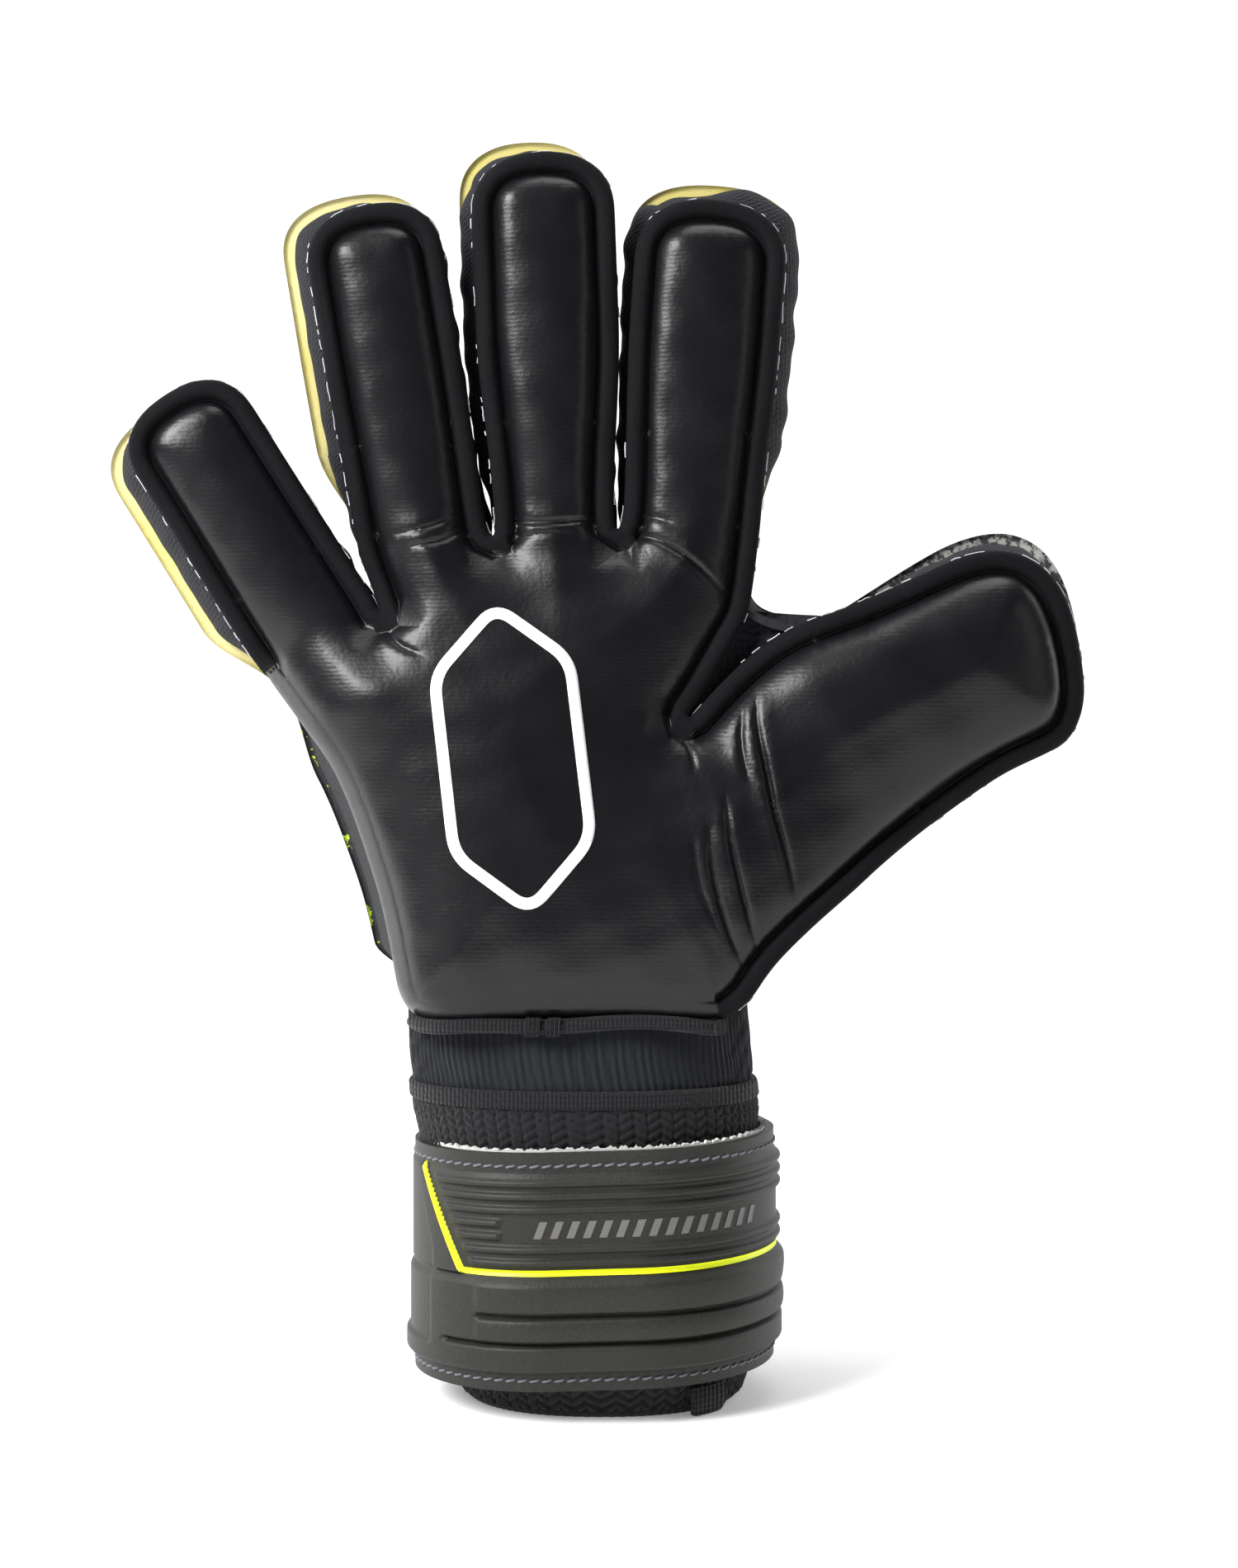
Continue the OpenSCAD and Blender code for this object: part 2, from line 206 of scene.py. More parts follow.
def make_strap_rubber():
    mat, tree, sh = new_material("strap_rubber", (0.02, 0.0195, 0.0175), 0.52, spec=0.34)
    co = coords(tree)
    colour_mix(tree, sh, noise(tree, co, 1700, 2),
               (0.0125, 0.0122, 0.0108), (0.0215, 0.0207, 0.0183), 0.3, 0.7)
    bump(tree, sh, noise(tree, co, 1500, 3, 0.6), 0.35, 0.0003)
    return mat


LATEX = make_latex()
SUEDE = grained("latex_raw_rim", (0.004, 0.004, 0.005), 0.8, 0.0, 0.12, 1600, 4, 0.5, 0.0004, 0.7)
LINING = grained("lining_black", (0.012, 0.012, 0.014), 0.9, 0.3, 0.2, 1500, 2, 0.3, 0.0003)
MESH = make_knit("gusset_mesh", (0.0075, 0.008, 0.0115), 0.00105)
WEB = make_knit("web_mesh", (0.0085, 0.009, 0.0115), 0.0017, 0.9)
RIBKNIT = make_rib_knit()
YARN = grained("cuff_yarn", (0.010, 0.010, 0.012), 0.85, 0.10, 0.25, 1900, 5, 0.7, 0.0006, 0.75)
TAPE = make_tape()
YELLOW = make_yellow()
BACKHAND = make_backhand()
THUMBBACK = make_thumb_back()
PAD = grained("backhand_pad_grey", (0.07, 0.07, 0.072), 0.55, 0.0, 0.5, 800, 3, 0.3, 0.0004)
STRAP = make_strap_rubber()
FELT = grained("strap_felt_white", (0.78, 0.78, 0.75), 0.95, 0.4, 0.2, 1800, 4, 0.8, 0.0006, 0.8)
LIME = new_material("lime_line", (0.86, 0.95, 0.01), 0.45)[0]
WHITE = new_material("white_print", (0.85, 0.85, 0.87), 0.5)[0]
THREAD = new_material("strap_thread", (0.13, 0.14, 0.17), 0.7, 0.2)[0]
RAW = new_material("raw_white_edge", (0.55, 0.56, 0.6), 0.9, 0.2)[0]
HATCH = new_material("strap_hatch", (0.13, 0.125, 0.12), 0.5)[0]


# ---------------------------------------------------------------- mesh helpers
def smooth(t):
    t = np.clip(t, 0, 1)
    return t * t * (3 - 2 * t)


def vertex_normals(verts, tris):
    """Area-weighted normals at every vertex."""
    a, b, c = (verts[tris[:, k]] for k in range(3))
    fn = np.cross(b - a, c - a)
    out = np.zeros_like(verts)
    for k in range(3):
        np.add.at(out, tris[:, k], fn)
    return out / np.maximum(np.linalg.norm(out, axis=1, keepdims=True), 1e-12)


def build(name, verts, faces, mats, face_mat=None, normals=None, sharp=40):
    """A mesh object from millimetres, with custom normals or sharp edges by angle."""
    me = bpy.data.meshes.new(name)
    me.from_pydata((np.asarray(verts) * MM).tolist(), [], [list(map(int, f)) for f in faces])
    for m in mats:
        me.materials.append(m)
    if face_mat is not None:
        me.polygons.foreach_set("material_index", np.asarray(face_mat, np.int32))
    me.polygons.foreach_set("use_smooth", np.ones(len(me.polygons), bool))
    if normals is not None:
        me.normals_split_custom_set([tuple(n) for n in normals])
    elif sharp is not None:
        me.set_sharp_from_angle(angle=math.radians(sharp))
    me.update()
    ob = bpy.data.objects.new(name, me)
    bpy.context.scene.collection.objects.link(ob)
    return ob


def closed_sheet(name, outer, inner, tris, n_out, n_in, mats, face_mat, wall_mat, inner_mat, extra=None):
    """A closed solid from a triangulated outer skin, its inner skin and walls along the open edges."""
    used = np.unique(tris)
    index = np.full(len(outer), -1)
    index[used] = np.arange(len(used))
    t = index[tris]
    n = len(used)
    verts = np.vstack([outer[used], inner[used]])
    edges = np.vstack([t[:, [0, 1]], t[:, [1, 2]], t[:, [2, 0]]])
    key = edges[:, 0].astype(np.int64) * n + edges[:, 1]
    back = edges[:, 1].astype(np.int64) * n + edges[:, 0]
    rim = edges[~np.isin(key, back)]
    a, b = rim[:, 0], rim[:, 1]
    walls = np.stack([b, a, a + n, b + n], axis=1)
    faces = [*t.tolist(), *(t[:, ::-1] + n).tolist(), *walls.tolist()]
    wall_n = np.cross(verts[a] - verts[b], verts[a + n] - verts[b])
    wall_n /= np.maximum(np.linalg.norm(wall_n, axis=1, keepdims=True), 1e-9)
    no, ni = n_out[used], n_in[used]
    normals = np.vstack([no[t.ravel()], ni[t[:, ::-1].ravel()], np.repeat(wall_n, 4, axis=0)])
    fm = np.concatenate([face_mat, np.zeros(len(t), int) + inner_mat, np.full(len(walls), wall_mat)])
    if extra is not None and len(extra[0]):
        ev, ef, em = extra
        base = len(verts)
        verts = np.vstack([verts, ev])
        faces += (ef + base).tolist()
        p = ev[ef]
        en = np.cross(p[:, 1] - p[:, 0], p[:, 2] - p[:, 0])
        en /= np.maximum(np.linalg.norm(en, axis=1, keepdims=True), 1e-12)
        normals = np.vstack([normals, np.repeat(en, 4, axis=0)])
        fm = np.concatenate([fm, np.full(len(ef), em)])
    return build(name, verts, faces, mats, fm, normals)


def grid_faces(rows, cols, wrap=False):
    """Quads of a rows by cols grid; wrap joins the last column to the first."""
    r = np.arange(rows - 1)[:, None]
    last = cols if wrap else cols - 1
    c = np.arange(last)[None, :]
    c2 = (c + 1) % cols
    q = np.stack([r * cols + c, r * cols + c2, (r + 1) * cols + c2, (r + 1) * cols + c], axis=-1)
    return q.reshape(-1, 4)


def shell(name, outer, inner, mat, wrap=False, sharp=40):
    """A closed solid between two grids of points, rows by columns; wrap joins the columns into a ring."""
    rows, cols = outer.shape[:2]
    n = rows * cols
    q = grid_faces(rows, cols, wrap)
    faces = [q, q[:, ::-1] + n]
    idx = np.arange(n).reshape(rows, cols)
    borders = [(idx[0][::-1], True), (idx[-1], True)]
    if not wrap:
        borders += [(idx[:, 0], False), (idx[::-1, -1], False)]
    for line, along in borders:
        a, b = line, np.roll(line, -1)
        if not (wrap and along):
            a, b = line[:-1], line[1:]
        faces.append(np.stack([a, b, b + n, a + n], axis=1))
    verts = np.vstack([outer.reshape(-1, 3), inner.reshape(-1, 3)])
    return build(name, verts, np.vstack(faces), [mat], sharp=sharp)


def tube_along(path, rx, rz, sides):
    """Points and quads of an elliptic tube along a path; half widths rx across and rz along the normal."""
    path = np.asarray(path, float)
    step = np.gradient(path, axis=0)
    tangent = step / np.linalg.norm(step, axis=1, keepdims=True)
    side = np.cross(tangent, np.array([0, 1.0, 0]))
    side /= np.maximum(np.linalg.norm(side, axis=1, keepdims=True), 1e-9)
    up = np.cross(side, tangent)
    a = np.arange(sides) * 2 * math.pi / sides
    ring = (side[:, None, :] * (rx * np.cos(a))[None, :, None]
            + up[:, None, :] * (rz * np.sin(a))[None, :, None])
    verts = (path[:, None, :] + ring).reshape(-1, 3)
    faces = grid_faces(len(path), sides, True).tolist()
    faces.append(list(range(sides))[::-1])
    faces.append(list(range(len(verts) - sides, len(verts))))
    return verts, faces


def joined(parts):
    """Lists of points and faces of several meshes taken as one."""
    verts, faces = [], []
    for v, f in parts:
        faces += [[i + len(verts) for i in q] for q in f]
        verts += v.tolist()
    return verts, faces


def catmull(points, step=1.1):
    """A smooth curve through points, at about that spacing."""
    p = np.asarray(points, float)
    p = np.vstack([2 * p[0] - p[1], p, 2 * p[-1] - p[-2]])
    out = []
    for k in range(1, len(p) - 2):
        n = max(2, int(np.linalg.norm(p[k + 1] - p[k]) / step))
        t = np.linspace(0, 1, n, endpoint=False)[:, None]
        out.append(0.5 * (2 * p[k] + (p[k + 1] - p[k - 1]) * t
                          + (2 * p[k - 1] - 5 * p[k] + 4 * p[k + 1] - p[k + 2]) * t ** 2
                          + (3 * p[k] - p[k - 1] - 3 * p[k + 1] + p[k + 2]) * t ** 3))
    out.append(p[-2][None])
    return np.vstack(out)


def even(loop, tags, step):
    """A closed loop at even spacing, each point keeping the tag of the stretch it came from."""
    nxt = np.roll(loop, -1, axis=0)
    seg = np.linalg.norm(nxt - loop, axis=1)
    s = np.concatenate([[0], np.cumsum(seg)])
    n = int(s[-1] / step)
    at = np.arange(n) * s[-1] / n
    k = np.clip(np.searchsorted(s, at, side="right") - 1, 0, len(loop) - 1)
    t = ((at - s[k]) / np.maximum(seg[k], 1e-9))[:, None]
    return loop[k] * (1 - t) + nxt[k] * t, np.asarray(tags)[k]


# ---------------------------------------------------------------- outline of the glove, in x and z
# root x, root z, lean to the left, length, half width at the root and beyond
FINGERS = {
    "pinky": (-63.2, 171.6, 32.0, 68.0, 15.6, 15.3),
    "ring": (-40.3, 193.6, 9.5, 80.0, 14.8, 15.5),
    "middle": (-10.6, 198.2, 2.1, 86.3, 13.5, 16.3),
    "index": (20.4, 198.3, -4.0, 75.5, 15.6, 17.2),
}
THUMB_U = np.array([0.857167, 0.515038])
THUMB_N = np.array([-0.515038, 0.857167])
PINKY_SIDE = [(-42.5, 88), (-45.7, 93.4), (-47.8, 103.4), (-50.3, 114.2), (-54.1, 125.9),
              (-58.2, 136.8), (-62.8, 145.9), (-70.0, 155.5)]
WEB_FRONT = [(34.6, 187), (33, 179), (28.3, 170.5), (23.2, 161.5), (19, 155.2), (20.6, 156.2),
             (26, 162.3), (33.2, 169.2), (40, 174.2), (46.8, 177.4)]
WEB_BACK = [(34.6, 188), (36.2, 183.8), (40.5, 181.4), (46.8, 180.6)]
THUMB = [(54, 180.0), (61.2, 182.9), (70.4, 187.0), (80.9, 191.6), (88.6, 193.2), (94.6, 192.4),
         (99.8, 189.4), (104.2, 183.6), (107.2, 175), (108.9, 165.3), (108.8, 158.6), (106.6, 152.4),
         (102.6, 148.6), (90.1, 142.4), (77, 133.4), (63.9, 123.2), (56, 116.4), (47.5, 109.2),
         (40.3, 102.4), (36.4, 97.8), (32.6, 92.4), (27, 88.2)]
HEM = [(13, 88.8), (0, 89), (-15, 88.6), (-28, 88.0), (-36, 87.6)]
KINDS = ROLL, RIM, HEMMED = 0, 1, 2


def finger_axes(name):
    x, z, lean = FINGERS[name][:3]
    a = math.radians(lean)
    return np.array([x, z]), np.array([math.cos(a), math.sin(a)]), np.array([-math.sin(a), math.cos(a)])


def along(name, p):
    """Distance of points along a finger from its root."""
    root, _, up = finger_axes(name)
    return (p - root) @ up


def finger_outline(name):
    """Up the left side, over the squarish round tip and down the right side."""
    root, across, up = finger_axes(name)
    length, w0, w1 = FINGERS[name][3:]
    height = 0.84 * w1
    v = np.linspace(2.0, length - height, 40)
    w = w0 + (w1 - w0) * smooth(v / 48)
    a = np.linspace(0, math.pi, 60)[1:-1]
    tip_u = -w1 * np.sign(np.cos(a)) * np.abs(np.cos(a)) ** (2 / 2.35)
    tip_v = length - height + height * np.sin(a) ** (2 / 2.35)
    u = np.concatenate([-w, tip_u, w[::-1]])
    vv = np.concatenate([v, tip_v, v[::-1]])
    return root + u[:, None] * across + vv[:, None] * up


def outline(web):
    """The closed outline, clockwise seen from the front, with the kind of edge at each point."""
    parts = [(catmull(PINKY_SIDE), ROLL)]
    crotch = {"ring": (-50.0, 179.2), "middle": (-24.3, 196.2), "index": (3.6, 197.6)}
    for name in FINGERS:
        if name in crotch:
            parts.append((np.array([crotch[name]]), RIM))
        parts.append((finger_outline(name), RIM))
    parts.append((catmull(web + THUMB), RIM))
    parts.append((catmull([THUMB[-1]] + HEM + [PINKY_SIDE[0]])[1:-1], HEMMED))
    loop = np.vstack([p for p, _ in parts])
    tags = np.concatenate([np.full(len(p), t) for p, t in parts])
    loop, tags = even(loop, tags, 1.1)
    for _ in range(3):
        loop = (np.roll(loop, 1, axis=0) + 2 * loop + np.roll(loop, -1, axis=0)) / 4
    kinds = np.stack([(tags == k).astype(float) for k in KINDS], axis=1)
    for _ in range(10):
        kinds = (np.roll(kinds, 1, axis=0) + kinds + np.roll(kinds, -1, axis=0)) / 3
    return loop, kinds


def inward(loop):
    """Unit directions into a clockwise loop, one for each of its points."""
    d = np.roll(loop, -1, axis=0) - np.roll(loop, 1, axis=0)
    d /= np.linalg.norm(d, axis=1, keepdims=True)
    return np.stack([d[:, 1], -d[:, 0]], axis=1)


def distance(p, loop):
    """Signed distance to the loop, positive inside, and the nearest loop point."""
    a, b = loop, np.roll(loop, -1, axis=0)
    ab = b - a
    len2 = np.sum(ab * ab, axis=1)
    dist = np.empty(len(p))
    near = np.empty(len(p), int)
    inside = np.empty(len(p), bool)
    for k in range(0, len(p), 1500):
        q = p[k:k + 1500, None, :]
        t = np.clip(np.sum((q - a) * ab, axis=2) / len2, 0, 1)
        d2 = np.sum((a + t[..., None] * ab - q) ** 2, axis=2)
        j = d2.argmin(axis=1)
        dist[k:k + 1500] = np.sqrt(d2[np.arange(len(j)), j])
        near[k:k + 1500] = (j + (t[np.arange(len(j)), j] > 0.5)) % len(loop)
        qx, qz = q[..., 0], q[..., 1]
        crosses = ((a[:, 1] > qz) != (b[:, 1] > qz))
        x_at = a[:, 0] + (qz - a[:, 1]) / np.where(ab[:, 1] == 0, 1e-12, ab[:, 1]) * ab[:, 0]
        inside[k:k + 1500] = (np.sum(crosses & (qx < x_at), axis=1) % 2) == 1
    return np.where(inside, dist, -dist), near


# ---------------------------------------------------------------- where the glove bends
# Fingers but the pinky bend about level lines; the pinky and the thumb bend in their own line.
BEND = {  # start and end of the root bend, and of the middle bend, along the bending direction
    "pinky": ((0.0, 16.0), (25.6, 45.6)),
    "ring": ((197.0, 212.0), (223.0, 247.0)),
    "middle": ((199.0, 215.0), (230.6, 254.6)),
    "index": ((199.0, 215.0), (225.6, 249.6)),
}
PINKY_ROOT = np.array([-62.8, 170.5])
PINKY_UP = np.array([-0.537300, 0.843391])
THUMB_BEND = (130.5, 148.0)
NAMES = ["palm"] + [f"{f}_{part}" for f in FINGERS for part in ("lower", "tip")] + ["thumb"]


def root_and_split(name):
    """Where a finger's lower piece starts and where its tip does, along the bending direction."""
    root, middle = BEND[name]
    return root[0], (root[1] + middle[0]) / 2


def level(name, p):
    """Coordinate along a finger's bending direction."""
    return (p - PINKY_ROOT) @ PINKY_UP if name == "pinky" else p[:, 1]


def piece_of(p):
    """Which visual piece each point belongs to, as an index into NAMES."""
    out = np.zeros(len(p), int)
    x, z = p[:, 0], p[:, 1]
    left_of_ring = x < -50.2 - 0.385 * (z - 179.3)
    owner = np.where(left_of_ring, 0, np.where(x < -24.4 - 0.10 * (z - 196), 1,
                                              np.where(x < 3.8 + 0.028 * (z - 197), 2, 3)))
    thumb_side = (p @ THUMB_N) < 133
    for k, name in enumerate(FINGERS):
        lv = level(name, p)
        start, split = root_and_split(name)
        mine = (owner == k) & (lv > start)
        if name == "index":
            mine &= ~thumb_side
        out[mine] = 1 + 2 * k
        out[mine & (lv > split)] = 2 + 2 * k
    out[thumb_side & ((p @ THUMB_U) > THUMB_BEND[0]) & (x > 40)] = len(NAMES) - 1
    return out


def split_lines():
    """Straight cuts between pieces, as pairs of end points."""
    lines = []
    across = np.array([PINKY_UP[1], -PINKY_UP[0]])
    for v, reach in zip(root_and_split("pinky"), (15.9, 18.0)):
        c = PINKY_ROOT + v * PINKY_UP
        lines.append((c - 24 * across, c + reach * across))
    spans = {"ring": ((-56.9, -24.0), (-68, -28)), "middle": ((-24.6, 3.7), (-34, 4.6)),
             "index": ((3.7, 42), (4.6, 46))}
    for name in spans:
        for z, (left, right) in zip(root_and_split(name), spans[name]):
            lines.append((np.array([left, z]), np.array([right, z])))
    c = THUMB_U * THUMB_BEND[0]
    lines.append((c + 60 * THUMB_N, c + 132.9 * THUMB_N))
    return lines


# ---------------------------------------------------------------- depth of the two sides
KNUCKLE_Z = 196
SPREAD = math.tan(math.radians(8.5))  # how fast each side moves outwards below the knuckles
FRONT_Y, BACK_Y = -15, 13.2  # the two skins at the fingers, before their domes
PALM_FOAM, BACK_FOAM = 4.6, 3.4
STITCH = 4.5  # from the raw edge in to the stitched groove


def slope(z):
    """How far each side has moved outwards at height z; it starts softly at the knuckles."""
    h = KNUCKLE_Z - z
    return 0.5 * (h + np.sqrt(h * h + 80)) * SPREAD


def fades(p):
    """How far each point is pinky, thumb and straight finger, from 0 to 1."""
    kp = smooth((along("pinky", p) + 18) / 26) * smooth((-36 - p[:, 0]) / 14)
    kt = smooth((p @ THUMB_U - 92) / 44) * (1 - smooth((p @ THUMB_N - 126) / 14))
    kf = smooth((p[:, 1] - 188) / 18) * (1 - kt)
    return kp, kt, np.maximum(kf, kp)


def front_base(p):
    kp, kt, _ = fades(p)
    s = slope(p[:, 1]) * (1 - kp)
    return FRONT_Y - (s * (1 - kt) + 4.5 * kt)


def back_base(p):
    kp, kt, _ = fades(p)
    s = slope(p[:, 1]) * (1 - kp)
    return BACK_Y + s * (1 - kt) + 1.0 * kt


# Mesh rings inside the edge, and how far the front skin falls back at distances from each kind of edge
RINGS = [0.5, 1.4, 2.6, 3.6, 4.15, STITCH, 4.9, 5.5, 6.4, 7.7, 9.2]
RIM_PROFILE = ([0, *RINGS, 12],
               [2.7, 1.7, 1.2, 1.05, 1.35, 2.3, 3.3, 2.9, 1.9, 1.1, 0.5, 0.2, 0])
ROLL_PROFILE = ([0, 0.5, 1.4, 2.6, 3.6, 4.9, 6.4, 7.7, 9.2, 12, 16, 20],
                [14.5, 11.6, 9.1, 7.0, 5.7, 4.4, 3.1, 2.3, 1.6, 0.75, 0.15, 0])
HEM_PROFILE = ([0, 0.5, 1.4, 2.6, 3.6, 4.9, 6.4, 7.7, 9.2, 14],
               [5.5, 4.0, 2.7, 1.75, 1.2, 0.75, 0.4, 0.2, 0.1, 0])

# Creases: points in x and z, depth, half width, and the height of the fold beside them
CREASES = [
    ([(-25.5, 198.6), (-20.5, 200.1), (-13.0, 199.6), (-5.0, 200.2), (2.6, 201.2)], 0.95, 0.55, 0.35),
    ([(-23.0, 194.3), (-15.5, 196.9), (-7.0, 197.2)], 0.4, 0.6, 0.2),
    ([(-43.5, 194.2), (-36.5, 195.4), (-30.5, 198.4), (-25.4, 198.2)], 0.7, 0.5, 0.3),
    ([(-47.0, 197.0), (-40.0, 198.3), (-33.0, 201.0)], 0.45, 0.5, 0.25),
    ([(3.4, 196.0), (9.5, 196.6), (16.0, 194.0), (23.0, 188.6), (27.5, 184.0)], 0.85, 0.6, 0.45),
    ([(5.4, 200.3), (11.0, 201.0), (16.0, 199.6)], 0.5, 0.6, 0.3),
    ([(34.6, 161.5), (34.9, 153.0), (36.6, 144.0), (38.3, 135.0), (41.2, 124.5), (43.0, 115.0)],
     1.1, 0.6, 0.5),
    ([(31.8, 158.5), (31.2, 150.0), (32.6, 141.5)], 0.55, 0.6, 0.3),
    ([(27.5, 137.5), (29.0, 126.0), (31.8, 114.0), (35.2, 102.0)], 0.95, 0.6, 0.45),
    ([(23.8, 131.0), (24.8, 120.5), (27.8, 109.0), (32.4, 98.5)], 0.85, 0.6, 0.4),
    ([(20.3, 128.0), (22.0, 118.0), (26.5, 106.5)], 0.4, 0.6, 0.2),
    ([(16.5, 152.5), (19.5, 149.0), (21.0, 143.5)], 0.6, 0.6, 0.3),
    ([(-49.0, 176.5), (-45.5, 172.0), (-40.0, 169.5)], 0.6, 0.8, 0.35),
]


def crease_depth(p):
    """How far the creases press the skin in; less than nothing on the folds beside them."""
    total = np.zeros(len(p))
    for points, depth, width, fold in CREASES:
        c = catmull(points, 0.8)
        box = (p[:, 0] > c[:, 0].min() - 6) & (p[:, 0] < c[:, 0].max() + 6)
        box &= (p[:, 1] > c[:, 1].min() - 6) & (p[:, 1] < c[:, 1].max() + 6)
        q = p[box]
        d = np.linalg.norm(q[:, None, :] - c[None], axis=2)
        j = d.argmin(axis=1)
        dist = d[np.arange(len(q)), j]
        t = np.gradient(c, axis=0)
        t /= np.linalg.norm(t, axis=1, keepdims=True)
        side = (q - c[j])[:, 0] * t[j][:, 1] - (q - c[j])[:, 1] * t[j][:, 0]
        taper = np.sin(np.clip(j / (len(c) - 1), 0.02, 0.98) * math.pi) ** 0.6
        hollow = depth * np.exp(-(dist / width) ** 2)
        ridge = fold * np.exp(-((side - 1.9) / 1.5) ** 2) * np.exp(-(dist / 5) ** 4)
        ridge += 0.5 * fold * np.exp(-((side + 2.2) / 1.6) ** 2) * np.exp(-(dist / 5) ** 4)
        total[box] += taper * (hollow - ridge)
    return total


def crease_points():
    """Rows of points along every crease, so that the mesh can follow it."""
    out = []
    for points, _, _, _ in CREASES:
        c = catmull(points, 0.8)
        t = np.gradient(c, axis=0)
        t /= np.linalg.norm(t, axis=1, keepdims=True)
        n = np.stack([-t[:, 1], t[:, 0]], axis=1)
        out += [c + o * n for o in (-2.6, -1.5, -0.85, -0.4, 0, 0.4, 0.85, 1.5, 2.6)]
    return np.vstack(out)


def waves(p):
    """Slow unevenness of soft foam."""
    x, z = p[:, 0], p[:, 1]
    return (0.22 * np.sin(0.13 * x + 0.05 * z + 1) + 0.18 * np.sin(0.09 * z - 0.11 * x + 2)
            + 0.10 * np.sin(0.31 * x + 0.21 * z) + 0.06 * np.sin(0.55 * z - 0.2 * x))


def thin_out(p, gap):
    """Keeps points that are at least about gap apart."""
    cell = {}
    keep = []
    for k, (x, z) in enumerate(p):
        i, j = int(x // gap), int(z // gap)
        near = (m for di in (-1, 0, 1) for dj in (-1, 0, 1) for m in cell.get((i + di, j + dj), ()))
        if all((p[m][0] - x) ** 2 + (p[m][1] - z) ** 2 > gap * gap for m in near):
            cell.setdefault((i, j), []).append(k)
            keep.append(k)
    return np.array(keep)


def triangulate(loop, fine, extra_points):
    """Triangles over the inside of a loop, with edges along the split lines."""
    n_in = inward(loop)
    rings = []
    for d in RINGS:
        q = loop + d * n_in
        true, _ = distance(q, loop)
        rings.append(q[np.abs(true - d) < 0.07])
    lo, hi = loop.min(0), loop.max(0)
    gx = np.arange(lo[0], hi[0], fine)
    gz = np.arange(lo[1], hi[1], fine * 0.866)
    hexes = np.array([(x + (fine / 2 if k % 2 else 0), z) for k, z in enumerate(gz) for x in gx])
    hexes = hexes + rng.uniform(-0.12, 0.12, hexes.shape)
    true, _ = distance(hexes, loop)
    hexes = hexes[true > RINGS[-1] + 0.9]
    cut = []
    lines = split_lines()
    for a, b in lines:
        n = max(2, int(np.linalg.norm(b - a) / 1.1))
        cut.append(a + np.linspace(0, 1, n)[:, None] * (b - a))
    cut_all = np.vstack(cut)
    free = np.vstack(rings)
    if len(extra_points):
        true, _ = distance(extra_points, loop)
        free = np.vstack([free, extra_points[true > 5.2]])
    free = np.vstack([free, hexes])
    near_cut = np.zeros(len(free), bool)
    for a, b in lines:
        ab = (b - a) / np.linalg.norm(b - a)
        rel = free - a
        u = rel @ ab
        v = np.abs(rel[:, 0] * ab[1] - rel[:, 1] * ab[0])
        near_cut |= (v < 0.3) & (u > -0.3) & (u < np.linalg.norm(b - a) + 0.3)
    free = free[~near_cut]
    free = free[thin_out(free, 0.33)]
    pts = np.vstack([loop, cut_all, free])
    n = len(loop)
    edges = [(k, (k + 1) % n) for k in range(n)]
    at = n
    for c in cut:
        edges += [(at + k, at + k + 1) for k in range(len(c) - 1)]
        at += len(c)
    out = delaunay_2d_cdt([Vector(q) for q in pts.tolist()], edges, [], 0, 1e-5)
    verts = np.array([tuple(v) for v in out[0]])
    tris = np.array([f for f in out[2] if len(f) == 3])
    mid = verts[tris].mean(axis=1)
    inside, _ = distance(mid, loop)
    tris = tris[inside > 0]
    a, b, c = (verts[tris[:, k]] for k in range(3))
    area = (b - a)[:, 0] * (c - a)[:, 1] - (b - a)[:, 1] * (c - a)[:, 0]
    tris[area < 0] = tris[area < 0][:, ::-1]
    return verts, tris[np.abs(area) > 1e-7]


FINE = 1.7
front_loop, front_kinds = outline(WEB_FRONT)
back_loop, back_kinds = outline(WEB_BACK)


def nearest(p, line):
    """Distance from points to the nearest point of a line of points."""
    out = np.empty(len(p))
    for k in range(0, len(p), 4000):
        out[k:k + 4000] = np.sqrt(((p[k:k + 4000, None, :] - line[None]) ** 2).sum(2).min(1))
    return out


def finer(line):
    return np.vstack([line, (line[1:] + line[:-1]) / 2])


ROLL_LINE = finer(front_loop[front_kinds[:, ROLL] > 0.5])
HEM_LINE = finer(front_loop[front_kinds[:, HEMMED] > 0.5])


def front_depth(p):
    """Front skin's y, its inner skin's y, and the distance from the edge."""
    d, near = distance(p, front_loop)
    d = np.maximum(d, 0)
    kind = front_kinds[near]
    _, kt, kf = fades(p)
    base = front_base(p)
    rise = np.maximum(d - STITCH, 0)
    palm_dome = 5.5 * (1 - np.exp(-rise / 15))
    finger_dome = 2.0 * (1 - np.exp(-rise / 5))
    thumb_dome = 7.5 * (1 - np.exp(-rise / 10))
    dome = (palm_dome * (1 - kf) + finger_dome * kf) * (1 - kt) + thumb_dome * kt
    flare = 0.35 * np.sin(near * 0.23) + 0.25 * np.sin(near * 0.071 + 1)
    rim = np.interp(d, *RIM_PROFILE) + flare * np.clip(1 - d / 4.2, 0, 1)
    rec = kind[:, RIM] * rim + np.interp(nearest(p, ROLL_LINE), *ROLL_PROFILE)
    rec += np.interp(nearest(p, HEM_LINE), *HEM_PROFILE)
    y = base - dome + rec + crease_depth(p) * smooth((d - 4.6) / 2) + waves(p) * smooth((d - STITCH) / 5)
    inner = np.maximum(base + PALM_FOAM - 0.5 * dome, y + 1.6)
    return y, inner, d


